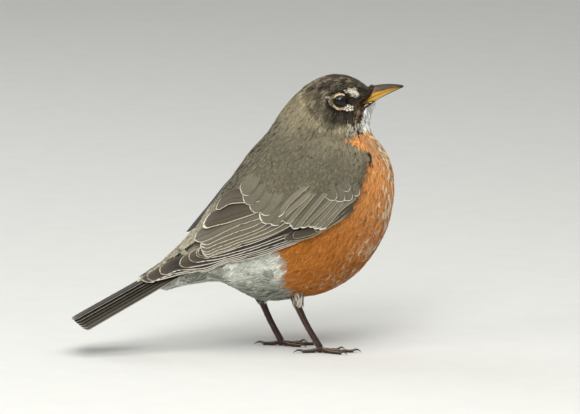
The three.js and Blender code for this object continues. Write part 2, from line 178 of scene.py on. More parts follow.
def body_points(station, angle):
    """Points of the feathered body's outside, before the face is shaped."""
    back, belly, girth = (through(BODY[:, k:k + 2], station) for k in (0, 2, 4))
    bend = np.log(girth[..., 1]) / math.log(0.5)
    down = ((1 - np.cos(angle)) / 2) ** bend
    side = np.sign(np.sin(angle)) * np.abs(np.sin(angle)) ** FULLNESS
    xz = back + (belly - back) * down[..., None]
    return np.stack([xz[..., 0], girth[..., 0] * side, xz[..., 1]], axis=-1)


def from_eye(points):
    """Distance from the eye's middle in the side view, in lid openings, and its bearing."""
    x = (points[..., 0] - EYE_CENTRE[0]) / EYE_OPENING[0]
    z = (points[..., 2] - EYE_CENTRE[2]) / EYE_OPENING[1]
    return np.hypot(x, z), np.arctan2(z, x)


EYE_DISH_DEPTH = 0.45  # of the lids, under the eyeball's front
EYE_BROW = 0.5
EYEBALL_LEAST = 1.2  # half-width of the eyeball's front that the lids can lie beside
# The eye ring's outer limit: bearings, and distances in lid openings.
RING_BEARINGS = (-28, 0, 50, 68, 102, 140, 177, 201, 231, 271, 297, 323, 332, 360)
RING_REACHES = (2.0, 1.6, 1.42, 1.5, 1.6, 1.76, 1.92, 1.92, 1.7, 1.56, 1.95, 2.12, 2.0, 1.6)


def ring_reach(bearing):
    return np.interp(np.degrees(bearing) % 360, RING_BEARINGS, RING_REACHES)


def lid_depth(x, z):
    """How far from the midline the eyeball's front is, at a place in the side view."""
    r2 = (x - EYE_CENTRE[0]) ** 2 + (z - EYE_CENTRE[2]) ** 2
    return EYE_CENTRE[1] + np.sqrt(np.maximum(EYE_RADIUS**2 - r2, EYEBALL_LEAST**2))


def stroke(x, z, line, half):
    """1 on a polyline in the side view, falling to 0 at `half` millimetres from it."""
    best = np.full(np.shape(x), 1e9)
    for (ax, az), (bx, bz) in zip(line[:-1], line[1:]):
        ex, ez = bx - ax, bz - az
        s = np.clip(((x - ax) * ex + (z - az) * ez) / (ex * ex + ez * ez), 0, 1)
        best = np.minimum(best, np.hypot(x - ax - s * ex, z - az - s * ez))
    return 1 - smooth(best, half * 0.6, half)


def shaped_body():
    stations = np.linspace(0, STATIONS, GRID_STATIONS)
    angles = np.linspace(0, TAU, GRID_ANGLES)
    s, a = np.meshgrid(stations, angles, indexing="ij")
    points = body_points(s, a)
    # Each eye sits in a shallow dish, under a low brow.
    away, bearing = from_eye(points)
    dish = 1 - smooth(away, 1.0, 1.95)
    lid = lid_depth(points[..., 0], points[..., 2]) - EYE_DISH_DEPTH
    depth = np.abs(points[..., 1])
    near = (depth > 5) & (away < 2.2)
    sunk = np.where(near, mix(depth, np.minimum(depth, lid), dish), depth)
    brow = EYE_BROW * np.exp(-((away - 2.0) / 0.5) ** 2) * smooth(np.sin(bearing), 0.0, 0.9)
    sunk = np.where(near, sunk + brow, sunk)
    # The gape's corner is bare: the feathers beside it lie lower than the bill's edge.
    x, z = points[..., 0], points[..., 2]
    bill_side = np.interp(x, GAPE_SIDE_AT, GAPE_SIDE) - GAPE_INSET
    bare = stroke(x, z, GAPE_LINE, GAPE_BARE) * (s < 4)
    sunk = mix(sunk, np.minimum(sunk, bill_side), bare)
    points[..., 1] = np.sign(points[..., 1]) * sunk
    return Surface(stations, points)


BODY_SURFACE = shaped_body()


# ---- meshes -------------------------------------------------------------------------------

def in_frame(points):
    """Source millimetres to packed metres."""
    return (np.asarray(points, float) + (SHIFT, 0, 0)) / 1000


def new_mesh(name, points, faces, material, slot, colours=None, bake=None, smooth_shade=True):
    """An object from arrays. `faces` is a list of (n, k) index arrays, `colours` one RGB row for
    each point, `bake` one UV row for each point."""
    mesh = bpy.data.meshes.new(name)
    counts = np.concatenate([np.full(len(f), f.shape[1]) for f in faces])
    corners = np.concatenate([f.reshape(-1) for f in faces]).astype(np.int32)
    mesh.vertices.add(len(points))
    mesh.vertices.foreach_set("co", in_frame(points).astype(np.float32).reshape(-1))
    mesh.loops.add(len(corners))
    mesh.loops.foreach_set("vertex_index", corners)
    mesh.polygons.add(len(counts))
    starts = np.concatenate([[0], np.cumsum(counts)[:-1]]).astype(np.int32)
    mesh.polygons.foreach_set("loop_start", starts)
    mesh.polygons.foreach_set("loop_total", counts.astype(np.int32))
    mesh.polygons.foreach_set("use_smooth", np.full(len(counts), smooth_shade))
    mesh.update(calc_edges=True)
    if colours is not None:
        paint = mesh.color_attributes.new("Plumage", "FLOAT_COLOR", "POINT")
        rgba = np.concatenate([np.clip(colours, 0, 1), np.ones((len(colours), 1))], axis=1)
        paint.data.foreach_set("color", rgba.astype(np.float32).reshape(-1))
    if bake is not None:
        layer = mesh.uv_layers.new(name="OFBake")
        layer.data.foreach_set("uv", bake[corners].astype(np.float32).reshape(-1))
    mesh.validate()
    piece = bpy.data.objects.new(name, mesh)
    bpy.context.scene.collection.objects.link(piece)
    mesh.materials.append(material)
    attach(piece, "root")
    return piece


def grid_faces(rows, columns, closed):
    """Quads over a grid of points, whose columns may close into rings."""
    index = np.arange(rows * columns).reshape(rows, columns)
    if closed:
        index = np.concatenate([index, index[:, :1]], axis=1)
    corners = [index[:-1, :-1], index[:-1, 1:], index[1:, 1:], index[1:, :-1]]
    return np.stack(corners, axis=-1).reshape(-1, 4)


def bake_place(station, angle):
    """Where a place on the body lies on the coat's bake map."""
    return np.stack([(np.asarray(angle) % TAU) / TAU, np.asarray(station) / STATIONS], axis=-1)


BAKE_PATCH = 0.0015  # half of a small feather's patch on the bake map
BAKE_MARGIN = 0.0005


def patch(roots, x, y):
    """A small feather's patch of the bake map, at its root's place; x runs along it, y across."""
    return np.asarray(roots)[..., None, :] + BAKE_PATCH * np.stack([y, 2 * x - 1], axis=-1)


def on_map(places):
    return places.reshape(-1, 2).clip(BAKE_MARGIN, 1 - BAKE_MARGIN)


def noise(points, size, seed):
    """Smooth noise from -1 to 1, whose lumps are about `size` millimetres across."""
    p = points / size + 100
    cell = np.floor(p).astype(np.int64)
    w = p - cell
    w = w * w * (3 - 2 * w)
    total = np.zeros(points.shape[:-1])
    for dx in (0, 1):
        for dy in (0, 1):
            for dz in (0, 1):
                key = (
                    (cell[..., 0] + dx) * 73856093
                    ^ (cell[..., 1] + dy) * 19349663
                    ^ (cell[..., 2] + dz) * 83492791
                    ^ seed * 2654435761
                )
                value = ((key * 1103515245 + 12345) >> 7 & 0xFFFF) / 32767.5 - 1
                share = (
                    np.abs(1 - dx - w[..., 0])
                    * np.abs(1 - dy - w[..., 1])
                    * np.abs(1 - dz - w[..., 2])
                )
                total += value * share
    return total


# ---- plumage colours ----------------------------------------------------------------------

def paint(red, green, blue):
    """A colour named in 0-255 screen values, as linear light."""
    s = np.array([red, green, blue]) / 255
    return np.where(s <= 0.04045, s / 12.92, ((s + 0.055) / 1.055) ** 2.4)


MANTLE = paint(102, 97, 81)
MANTLE_EDGE = paint(136, 129, 108)
NECK = paint(136, 127, 103)
CROWN = paint(86, 78, 64)
CROWN_STREAK = paint(34, 30, 26)
CROWN_EDGE = paint(142, 130, 107)
CHEEK = paint(37, 33, 26)
CHEEK_EDGE = paint(104, 95, 77)
LORES = paint(62, 55, 42)
BLACK = paint(26, 24, 22)
WHITE = paint(232, 231, 224)
CREAM = paint(222, 206, 176)
RUFOUS = paint(206, 143, 83)
RUFOUS_DEEP = paint(170, 102, 32)
RUFOUS_EDGE = paint(212, 158, 104)
RUFOUS_PALE = paint(158, 128, 95)
GAPE_GOLD = paint(168, 126, 50)
BELLY = paint(216, 218, 208)
VENT_SHADE = paint(104, 107, 90)
RUMP = paint(158, 152, 133)
BILL_BROWN = paint(112, 60, 26)
RUST = paint(104, 66, 48)

# The rufous breast's upper limit: stations, and angles from the back line in degrees.
BREAST_TOP_STATIONS = (
    4.65, 4.9, 5.15, 5.7, 6.15, 6.62, 6.98, 7.16, 7.22, 7.27,
    7.42, 7.7, 8.2, 8.65, 9.0, 9.4, 9.62, 9.9, 11, 12,
)
BREAST_TOP_ANGLES = (
    180, 160, 138, 122, 110, 99, 90, 86, 97, 113,
    118, 118, 115.5, 115, 117, 115, 112, 102, 84, 76,
)
# Its rear limit: angles from the back line, and stations.
BREAST_END_ANGLES = (70, 84, 92, 103, 116, 131, 145, 160, 180)
BREAST_END_STATIONS = (11.5, 11.95, 12.2, 12.5, 12.75, 12.92, 13.0, 13.0, 12.95)

# The dark hood's rear limit.
HOOD_END_ANGLES = (0, 40, 52, 61, 70, 78, 86, 100, 115)
HOOD_END_STATIONS = (5.75, 6.25, 6.55, 6.85, 6.9, 6.7, 6.35, 6.15, 6.0)
# The white throat's upper limit.
CHIN_STATIONS = (0, 1.5, 3.25, 4.2, 5.3, 5.6)
CHIN_ANGLES = (140, 125, 112, 117, 122, 150)
# Marks on the head, as lines in the side view.
# A line of painted shade in the crease below the ear coverts.
EAR_CREASE_SHADE = ((5.0, 132.5), (14.0, 130.3), (21.0, 128.9), (27.0, 127.6))
EAR_RIM = ((3.5, 147.0), (5.5, 143.0), (8.5, 138.8), (12.5, 135.8), (16.5, 134.8))
EYE_LINE = ((4.0, 157.4), (10.0, 158.6), (16.0, 159.4), (23.0, 160.4))
MALAR_LINE = ((34.5, 148.0), (32.3, 143.2), (29.2, 138.8))
LORES_PATCH = ((28.2, 156.4), (30.4, 155.6), (32.2, 154.8))
NECK_SPOT = ((12.0, 133.8), (9.6, 134.2))


def off_back(angle):
    """Degrees round from the back line, the same on both sides."""
    a = np.asarray(angle) % TAU
    return np.degrees(np.minimum(a, TAU - a))


class Places:
    """Places on the coat: where each lies in the side view, its station and its degrees off the
    back line, and two sizes of noise there."""

    def __init__(self, points, station, angle):
        self.points = points
        self.x, self.z = points[..., 0], points[..., 2]
        self.t = np.asarray(station)
        self.phi = off_back(angle)
        self.wobble = noise(points, 7.0, 1)
        self.fine = noise(points, 2.2, 2)

    def marked(self, line, half):
        return stroke(self.x, self.z, line, half)


def cover(under, share, colours):
    return [mix(u, c, share) for u, c in zip(under, colours)]


def upperparts(at):
    flat = np.ones(at.t.shape + (3,))
    coat = [flat * MANTLE, flat * MANTLE * 0.86, flat * MANTLE_EDGE]
    neck = 1 - smooth(at.t + at.wobble * 0.3, 6.6, 8.4)
    coat = cover(coat, neck, (NECK, NECK * 0.84, MANTLE_EDGE))
    # The rump and the upper tail coverts are greyer than the mantle.
    rear = smooth(at.t, 10.8, 12.2)
    return cover(coat, rear, (RUMP, RUMP * 0.8, MANTLE_EDGE))


def hood_marks(coat, at):
    """The hood: nearly black, its feathers edged with grey-brown."""
    t, phi = at.t, at.phi
    soft = np.interp(phi, (44, 62), (1.0, 0.5))
    end = np.interp(phi, HOOD_END_ANGLES, HOOD_END_STATIONS)
    hood = 1 - smooth(t + at.wobble * 0.1, end - soft, end + 0.15)
    coat = cover(coat, hood, (CHEEK, CROWN_STREAK, CHEEK_EDGE))
    crown = hood * (1 - smooth(phi, 42, 56))
    coat = cover(coat, crown, (CROWN, CROWN_STREAK, CROWN_EDGE))
    # Ear coverts, behind and below the eye, are greyer; under them a crease is darkened with painted
    # shade.
    ear = hood * smooth(-at.x + at.wobble * 2, -18, -9) * smooth(phi, 26, 50)
    crease_shade = at.marked(EAR_CREASE_SHADE, 4.0) * smooth(t, 6.0, 6.4)
    coat = cover(coat, crease_shade * 0.6, (NECK * 0.5, NECK * 0.4, NECK * 0.8))
    coat = cover(coat, ear * 0.85, (NECK * 0.6, CHEEK, CHEEK_EDGE))
    coat = cover(coat, at.marked(EAR_RIM, 1.5) * 0.5, (CHEEK * 0.7, BLACK, CHEEK_EDGE))
    coat = cover(coat, at.marked(EYE_LINE, 1.2) * 0.7, (CROWN_STREAK, BLACK, CHEEK_EDGE))
    face = hood * (1 - smooth(t, 3.6, 4.4)) * smooth(phi, 50, 66)
    return cover(coat, face, (LORES, BLACK, LORES * 1.4))


def breast_limits(at):
    """How far each place is in the rufous breast, and in front of its rear limit."""
    top = np.interp(at.t, BREAST_TOP_STATIONS, BREAST_TOP_ANGLES)
    end = np.interp(at.phi, BREAST_END_ANGLES, BREAST_END_STATIONS)
    in_front = smooth(at.t + at.fine * 0.06, 4.5, 4.7)
    below = smooth(at.phi - top + at.wobble * 3 + at.fine * 3, -3, 4)
    before = 1 - smooth(at.t + at.wobble * 0.14 + at.fine * 0.16, end - 0.2, end + 0.22)
    return below * before * in_front, before


def breast_marks(coat, at, breast):
    """Rufous, deeper on the flanks, with pale fringes low in front, and paler at the top."""
    t, phi = at.t, at.phi
    share = smooth(t, 8.2, 11.4) * 0.85 + 0.15 * smooth(at.fine, -0.2, 0.6)
    deep = mix(RUFOUS, RUFOUS_DEEP, share)
    low = smooth(t, 8.0, 10.0) * smooth(phi, 118, 150)
    edge = mix(RUFOUS_EDGE, BELLY, low * 0.75)
    coat = cover(coat, breast, (deep, deep * 0.95, edge))
    upper = breast * (1 - smooth(t, 6.4, 8.6)) * smooth(phi, 100, 140)
    return cover(coat, upper * 0.8, (RUFOUS_PALE, RUFOUS, BELLY))


def belly_marks(coat, at, before):
    """White belly and vent, with grey-olive bases showing, and painted shade low down."""
    behind = (1 - before) * smooth(at.phi, 58, 70)
    shade = smooth(noise(at.points * (0.5, 1, 1), 4.0, 3), -0.15, 0.55) * 0.75
    # Painted shade: greyer low under the body towards the vent, and less of it just under the wing's lower
    # edge.
    shade = np.maximum(shade, 0.65 * smooth(-at.z, -48, -39) * smooth(at.x, -80, -60))
    shade = shade * (1 - 0.7 * smooth(at.z, 48, 54) * smooth(at.x, -62, -50))
    return cover(coat, behind, (mix(BELLY, VENT_SHADE, shade), VENT_SHADE, BELLY))


def throat_marks(coat, at, breast):
    """The white throat, its black streaks, and the dark line down from the gape."""
    t, phi, fine = at.t, at.phi, at.fine
    chin = np.interp(t, CHIN_STATIONS, CHIN_ANGLES)
    throat = smooth(phi + fine * 5, chin - 3, chin + 4) * (1 - smooth(t + fine * 0.1, 5.6, 5.9))
    coat = cover(coat, throat * (1 - breast), (WHITE, WHITE * 0.9, WHITE))
    start = np.interp(phi, (84, 100, 116), (5.75, 5.5, 5.1))
    streaked = smooth(t, start - 0.12, start + 0.15) * (1 - smooth(t, 6.15, 6.5))
    streaked = streaked * smooth(phi, 86, 94) * (1 - smooth(phi, 134, 150)) * (1 - breast)
    coat = cover(coat, streaked * smooth(fine, -0.15, 0.1), (BLACK, BLACK, CHEEK_EDGE))
    coat = cover(coat, streaked * smooth(-fine, 0.1, 0.35) * 0.7, (CREAM * 0.7, CREAM, WHITE))
    return cover(coat, at.marked(MALAR_LINE, 2.0), (LORES * 0.8, BLACK, RUFOUS_DEEP * 0.5))


def markings(points, station, angle):
    """Three colours at each place: a feather's vane, its middle streak and its edge."""
    at = Places(points, station, angle)
    breast, before = breast_limits(at)
    coat = hood_marks(upperparts(at), at)
    coat = breast_marks(coat, at, breast)
    coat = belly_marks(coat, at, before)
    coat = throat_marks(coat, at, breast)
    # White over the lores, and a pale spot on the neck's side.
    coat = cover(coat, at.marked(LORES_PATCH, 1.3), (WHITE, CREAM, WHITE))
    return cover(coat, at.marked(NECK_SPOT, 2.0) * 0.45, (MANTLE_EDGE, NECK, CREAM))


def fringe_amount(points, station, angle, rng):
    """How plainly each feather's edge shows: strong on the head, and white on some feathers low
    on the breast."""
    t = np.asarray(station)
    phi = off_back(angle)
    patchy = smooth(noise(points, 8.0, 6), -0.3, 0.5)
    amount = np.interp(t, (0, 5, 6.5, 8, 17), (0.85, 0.8, 0.4, 0.2, 0.2))
    amount = amount * rng.uniform(0.3, 1.2, t.shape)
    low = smooth(t, 7.8, 9.4) * smooth(phi, 120, 145) * (1 - smooth(t, 12.0, 12.6))
    chest = smooth(t, 5.9, 6.4) * smooth(phi, 132, 160) * (1 - smooth(t, 9.0, 10.0))
    face = (1 - smooth(t, 5.7, 6.1)) * smooth(phi, 48, 60)
    amount = amount * (1 - 0.65 * face)
    white = rng.random(t.shape) < 0.75 * np.maximum(low, chest) * (0.2 + 0.8 * patchy)
    return np.where(white, rng.uniform(0.7, 1.0, t.shape), amount).clip(0, 1)


def pale_share(points, station, angle):
    """The share of whitish feathers: streaks down the breast's front edge and low in front."""
    t = np.asarray(station)
    phi = off_back(angle)
    front = smooth(t, 5.2, 6.2) * (1 - smooth(t, 8.8, 10.0)) * smooth(phi, 136, 154)
    low = smooth(t, 8.6, 10.0) * (1 - smooth(t, 11.9, 12.5)) * smooth(phi, 128, 152)
    patchy = smooth(noise(points, 7.0, 12), -0.4, 0.3)
    middle = 1 - 0.85 * smooth(phi, 158, 170)
    return (0.7 * front + 0.25 * low * patchy) * middle


# ---- the coat -----------------------------------------------------------------------------

COAT_STATIONS = (0, 1, 2, 4, 6, 7.5, 9, 11, 13, 15, 17)
COAT_LENGTHS = (1.6, 2.0, 2.6, 3.6, 5.0, 7.5, 9.5, 10.5, 11.5, 12.0, 12.0)
COAT_DEPTHS = (0.5, 0.6, 0.8, 1.1, 1.5, 2.0, 2.4, 2.6, 2.6, 2.2, 1.8)
SPACING_SHARE = 0.175  # a feather's place, by its length
SPACING_LEAST = 0.68


def coat_length(station):
    return np.interp(station, COAT_STATIONS, COAT_LENGTHS)


def coat_depth(station):
    return np.interp(station, COAT_STATIONS, COAT_DEPTHS)


SCATTER_TRIES = 3.2  # for each place that there is room for


def scatter(accept, spacing, seed):
    """Feather roots over the body, no two nearer than the spacing at their place."""
    rng = np.random.default_rng(seed)
    s = BODY_SURFACE
    cell = np.linalg.norm(np.cross(s.along[:-1, :-1], s.round[:-1, :-1]), axis=-1)
    middle = (s.stations[:-1] + s.stations[1:]) / 2
    weight = (cell / spacing(middle)[:, None] ** 2).reshape(-1)
    total = weight.sum() * (s.stations[1] - s.stations[0]) * TAU / (s.points.shape[1] - 1)
    tries = int(total * SCATTER_TRIES)
    picked = rng.choice(len(weight), size=tries, p=weight / weight.sum())
    i, j = np.divmod(picked, cell.shape[1])
    station = s.stations[i] + rng.random(tries) * (s.stations[1] - s.stations[0])
    angle = (j + rng.random(tries)) / (s.points.shape[1] - 1) * TAU
    keep = accept(station, angle)
    station, angle = station[keep], angle[keep]
    places = s.read(station, angle)[0]
    gaps = spacing(station)
    size = gaps.max()
    cells = np.floor(places / size).astype(int)
    held = {}
    chosen = []
    for k in range(len(places)):
        cx, cy, cz = cells[k]
        near = [
            m
            for ax in (cx - 1, cx, cx + 1)
            for ay in (cy - 1, cy, cy + 1)
            for az in (cz - 1, cz, cz + 1)
            for m in held.get((ax, ay, az), ())
        ]
        if near:
            gap = places[near] - places[k]
            if (dot(gap, gap) < gaps[k] ** 2).any():
                continue
        held.setdefault((cx, cy, cz), []).append(k)
        chosen.append(k)
    return station[chosen], angle[chosen]


def barb_template(barbs, looseness, sweep, contrast, rng):
    """One feather in its own measure: x runs along it from 0 to 1, y across it from -1 to 1.
    Gives vertices (x, y, lift, tone), and triangles. Barbs overlap like slats."""
    verts, faces = [], []

    def add(tone, *corners):
        first = len(verts)
        verts.extend((*corner, tone) for corner in corners)
        return first

    rows = (0.02, 0.3, 0.62, 0.9)
    half = np.array([0.25, 0.6, 0.66, 0.32]) * (1 - 0.6 * looseness)
    bed = [(x, y * h, -0.35 + 0.2 * (y == 0)) for x, h in zip(rows, half) for y in (-1, 0, 1)]
    first = add(0.94, *bed)
    for r in range(3):
        for c in range(2):
            a = first + 3 * r + c
            faces.extend([(a, a + 1, a + 4), (a, a + 4, a + 3)])
    starts = np.linspace(0.05, 0.9, barbs)
    gap = starts[1] - starts[0]
    for side in (-1, 1):
        for start in starts + side * 0.25 * gap:
            reach = (0.42 - 0.26 * start) * (1 + 0.6 * looseness + 0.45 * sweep)
            reach = max(reach + rng.normal(0, 0.025 + 0.07 * looseness), 0.08)
            end = min(start + reach, 1.0 + rng.uniform(-0.04, 0.04 + 0.2 * looseness))
            outline = math.sqrt(max(1 - (max(end - 0.4, 0) / 0.66) ** 2, 0.0))
            outline = max(outline * min(1, 0.35 + end * 1.6), 0.05)
            outline = outline * rng.uniform(1 - 0.8 * sweep, 1.05)
            across = side * (outline + rng.normal(0, 0.3 * looseness))
            bend = 0.45 + rng.normal(0, 0.04)
            wide = gap * (0.66 - 0.3 * looseness)
            lift = rng.normal(0, 0.12 + 1.5 * looseness)
            tone = math.exp(rng.normal(0, contrast))
            mid_x, mid_y = start + bend * 0.8 * (end - start), across * (bend + 0.16)
            a = add(
                tone,
                (start - wide, side * 0.02, -0.2),
                (start + wide, side * 0.02, 0.15),
                (mid_x - wide * 0.8, mid_y, -0.2 + lift * 0.4),
                (mid_x + wide * 0.8, mid_y, 0.15 + lift * 0.4),
                (end, across, lift - 0.1),
            )
            faces.extend([(a, a + 1, a + 3), (a, a + 3, a + 2), (a + 2, a + 3, a + 4)])
    return np.array(verts), np.array(faces)


CURL_BARBS = 15


def curl_template(rng):
    """Only the rim of a feather's tip, in the same measure as `barb_template`: short barbs that
    stand side by side on the tip's outline."""
    length, half_width = 10.0, 2.6
    bend = rng.uniform(0.9, 1.3)
    lean = rng.normal(0, 0.25)
    verts, faces = [], []
    for turn in np.linspace(-bend, bend, CURL_BARBS) + lean:
        out = np.array([math.cos(turn), math.sin(turn)])
        over = np.array([-out[1], out[0]])
        root = np.array([7.0, 0.0]) + out * (2.9, 2.5)
        tall = rng.uniform(0.25, 0.6)
        tone = math.exp(rng.normal(0, 0.1))
        first = len(verts)
        for place in (root - 0.13 * over, root + 0.13 * over,
                      root + 0.15 * out - 0.13 * over, root + 0.15 * out + 0.13 * over,
                      root + tall * out):
            verts.append((place[0] / length, place[1] / half_width, 1.7, tone))
        a = first
        faces.extend([(a, a + 1, a + 3), (a, a + 3, a + 2), (a + 2, a + 3, a + 4)])
    return np.array(verts), np.array(faces)


# The folded wing's front edge under the coat: stations, and degrees from the back line.
WING_FRONT_STATIONS = (7.2, 7.68, 8.22, 8.72, 9.1, 9.45, 9.78, 10.4, 12.4, 14.2, 16.0)
WING_FRONT_ANGLES = (112, 117, 115, 115, 115, 111, 106, 95, 72, 62, 60)
WING_SWELL = 3.3
RUMP_HOLLOW = 3.2
# Behind these stations, at these degrees from the back line, body feathers stay under the wing.
UNDER_WING_ANGLES = (0, 24, 34, 66, 76)
UNDER_WING_STATIONS = (10.9, 10.9, 10.5, 10.5, 9.8)
UNDER_WING_HEIGHT = 0.2


def swell(station, phi):
    """How far the coat stands over the body's own surface: out over the folded wing's front
    half, and in at the rump's sides, under the tail's outer feathers."""
    front = np.interp(station, WING_FRONT_STATIONS, WING_FRONT_ANGLES)
    over = smooth(station, 6.7, 8.3) * (1 - smooth(phi, front - 9, front + 1.5)) * smooth(phi, 6, 34)
    side = smooth(station, 14.0, 15.2) * smooth(phi, 36, 60) * (1 - smooth(phi, 96, 120))
    return WING_SWELL * over - RUMP_HOLLOW * side


def flow(points, along):
    """Which way a feather points: back along the body, and round the eye."""
    way = unit(along)
    offset = points - np.array(EYE_CENTRE) * (1, 0, 1)
    offset[..., 1] = 0
    away, _ = from_eye(points)
    outward = unit(offset)
    inward = np.minimum(dot(way, outward), 0)
    strength = 1.15 * (1 - smooth(away, 1.3, 2.9))
    return unit(way - (strength * inward)[..., None] * outward)


def lay_feathers(station, angle, length, width, sink, rise, turn, template):
    """Bends copies of a template over the body. Gives vertices as (feather, vertex, xyz) with
    their stations and angles."""
    joints = 4
    place_s, place_a = [station], [angle]
    cross_s, cross_a = [], []
    heading = turn
    for k in range(joints):
        s, a = place_s[-1], place_a[-1]
        point, normal, along, _ = BODY_SURFACE.read(s, a)
        way = flow(point, along)
        side = unit(np.cross(normal, way))
        aim = way * np.cos(heading)[:, None] + side * np.sin(heading)[:, None]
        over = unit(np.cross(normal, aim))
        ds, da = BODY_SURFACE.step(s, a, over)
        cross_s.append(ds)
        cross_a.append(da)
        if k < joints - 1:
            ds, da = BODY_SURFACE.step(s, a, aim)
            place_s.append(s + ds * length / (joints - 1))
            place_a.append(a + da * length / (joints - 1))
    x, y, lift = template[:, 0], template[:, 1], template[:, 2]
    at = np.clip(x, 0, 1.3) * (joints - 1)
    low = np.minimum(at.astype(int), joints - 2)
    share = at - low

    def along_feather(rows):
        rows = np.stack(rows)
        return (rows[low] * (1 - share[:, None]) + rows[low + 1] * share[:, None]).T

    across = y[None, :] * (width[:, None] / 2)
    s = along_feather(place_s) + across * along_feather(cross_s)
    a = along_feather(place_a) + across * along_feather(cross_a)
    s = np.clip(s, 0, STATIONS)
    point, normal, _, _ = BODY_SURFACE.read(s, a)
    height = (
        swell(s, off_back(a))
        - sink[:, None] * (1 - np.clip(x, 0, 1))[None, :] ** 2.8
        + rise[:, None] * np.clip(x, 0, 1.2)[None, :] ** 2
        + lift[None, :] * (0.02 + 0.012 * length)[:, None]
        - 0.035 * width[:, None] * (y**2)[None, :]
    )
    phi = off_back(a)
    front = np.interp(s, WING_FRONT_STATIONS, WING_FRONT_ANGLES)
    start = np.interp(phi, UNDER_WING_ANGLES, UNDER_WING_STATIONS)
    inside = smooth(s, start, start + 0.6) * (1 - smooth(phi, front - 3, front + 2))
    inside = inside * smooth(phi, 14, 20)
    height = mix(height, np.minimum(height, UNDER_WING_HEIGHT), inside)
    return point + normal * height[..., None], s, a


def feather_colours(template, coat, tone, streak, fringe, tip_only, base):
    """Vertex colours: the vane, its dark middle and its edge, and painted shade toward the root, where
    neighbours cover it.
    """
    vane, middle, edge = (c[:, None, :] for c in coat)
    x, y = template[:, 0], np.abs(template[:, 1])
    centre = ((1 - smooth(y, 0.04, 0.5)) * smooth(x, 0.1, 0.3))[None, :] * streak[:, None]
    sides = smooth(y, 0.72, 0.95) * (1 - tip_only) * smooth(x, 0.3, 0.5)
    rim = np.maximum(smooth(x, 0.84, 0.96), sides)
    rim = rim[None, :] * fringe[:, None]
    colour = mix(mix(vane, middle, centre), edge, rim)
    # Painted shade: each feather darkens toward its root, down to the dress's base share.
    shade = ((base + (1 - base) * smooth(x, 0.0, 0.5)) * template[:, 3])[None, :, None]
    return colour * shade * tone[:, None, None]


def streak_tone(station, angle):
    """Fine dark and pale streaks along the head's feathers, fading down the neck."""
    depth = np.interp(station, (0, 4.5, 5.5, 6.5, 7.5), (0.75, 0.75, 0.5, 0.12, 0.0))
    place = np.stack([station * 9 / 3.6, angle * 12 / 0.95, 0 * station], axis=-1)
    return np.exp(depth * 1.5 * noise(place, 1.0, 9))


COAT_VARIANTS = 7  # different feathers in each coat piece
DRESS = dict(
    # of the feathers, on average
    longer=1.0, aspect=0.62, rise=0.0, stray=0.12,
    # of their barbs
    loose=0.0, sweep=0.15, contrast=0.09,
    # of their colours, base being how bright the painted shade at each feather's root leaves it
    tone=0.08, streak=0.6, tip_only=0.0, base=0.75, colour=None,
)


def coat_piece(name, slot, station, angle, barbs, seed, dress):
    """One joined mesh of body feathers."""
    rng = np.random.default_rng(seed)
    habit = dress["loose"], dress["sweep"], dress["contrast"]
    variants = [
        barb_template(barbs, *habit, rng) if barbs else curl_template(rng)
        for _ in range(COAT_VARIANTS)
    ]
    choice = rng.integers(0, len(variants), len(station))
    all_verts, all_faces, all_colours, all_places = [], [], [], []
    first = 0
    for v, (template, faces) in enumerate(variants):
        these = choice == v
        s, a = station[these], angle[these]
        count = len(s)
        if not count:
            continue
        length = coat_length(s) * dress["longer"] * rng.uniform(0.85, 1.15, count)
        width = length * dress["aspect"] * rng.uniform(0.85, 1.15, count)
        sink = coat_depth(s) * rng.uniform(0.85, 1.1, count)
        rise = dress["rise"] * rng.uniform(-0.3, 1.3, count) + rng.normal(0, 0.08, count)
        turn = rng.normal(0, dress["stray"], count)
        verts, vs, va = lay_feathers(s, a, length, width, sink, rise, turn, template)
        mid = BODY_SURFACE.read(vs[:, -1], va[:, -1])[0]
        coat = markings(mid, vs[:, -1], va[:, -1])
        pale = rng.random(count) < pale_share(mid, vs[:, -1], va[:, -1])
        coat = [mix(c, CREAM, pale * 0.72) for c in coat]
        if dress["colour"] is not None:
            coat = [np.broadcast_to(dress["colour"], c.shape) for c in coat]
        tone = np.exp(rng.normal(0, dress["tone"], count)) * (1 + 0.08 * noise(mid, 9.0, 5))
        tone = tone * streak_tone(s, a)
        colours = feather_colours(
            template, coat, tone,
            dress["streak"] * rng.uniform(0.5, 1.2, count).clip(0, 1),
            fringe_amount(mid, vs[:, -1], va[:, -1], rng),
            dress["tip_only"],
            dress["base"],
        )
        offsets = first + np.arange(count)[:, None, None] * len(template)
        all_faces.append((faces[None] + offsets).reshape(-1, 3))
        all_verts.append(verts.reshape(-1, 3))
        all_colours.append(colours.reshape(-1, 3))
        all_places.append(on_map(patch(bake_place(s, a), template[:, 0], template[:, 1])))
        first += count * len(template)
    return new_mesh(
        name, np.concatenate(all_verts), [np.concatenate(all_faces)], PLUMAGE, slot,
        np.concatenate(all_colours), np.concatenate(all_places),
    )


# ---- materials ----------------------------------------------------------------------------

class Shading:
    """A material with its nodes, which are added and joined one by one."""

    def __init__(self, name):
        self.material = bpy.data.materials.new(name)
        self.material.use_nodes = True
        self.shader = self.material.node_tree.nodes["Principled BSDF"]

    def node(self, kind, inputs, output, **settings):
        """A node's output socket. Each input is a number, or the socket that feeds it."""
        made = self.material.node_tree.nodes.new("ShaderNode" + kind)
        for setting, value in settings.items():
            setattr(made, setting, value)
        for socket, value in inputs.items():
            self.feed(made.inputs[socket], value)
        return made.outputs[output]

    def feed(self, socket, value):
        if isinstance(value, bpy.types.NodeSocket):
            self.material.node_tree.links.new(value, socket)
        else:
            socket.default_value = value

    def surface(self, **inputs):
        for socket, value in inputs.items():
            self.feed(self.shader.inputs[socket.replace("_", " ")], value)


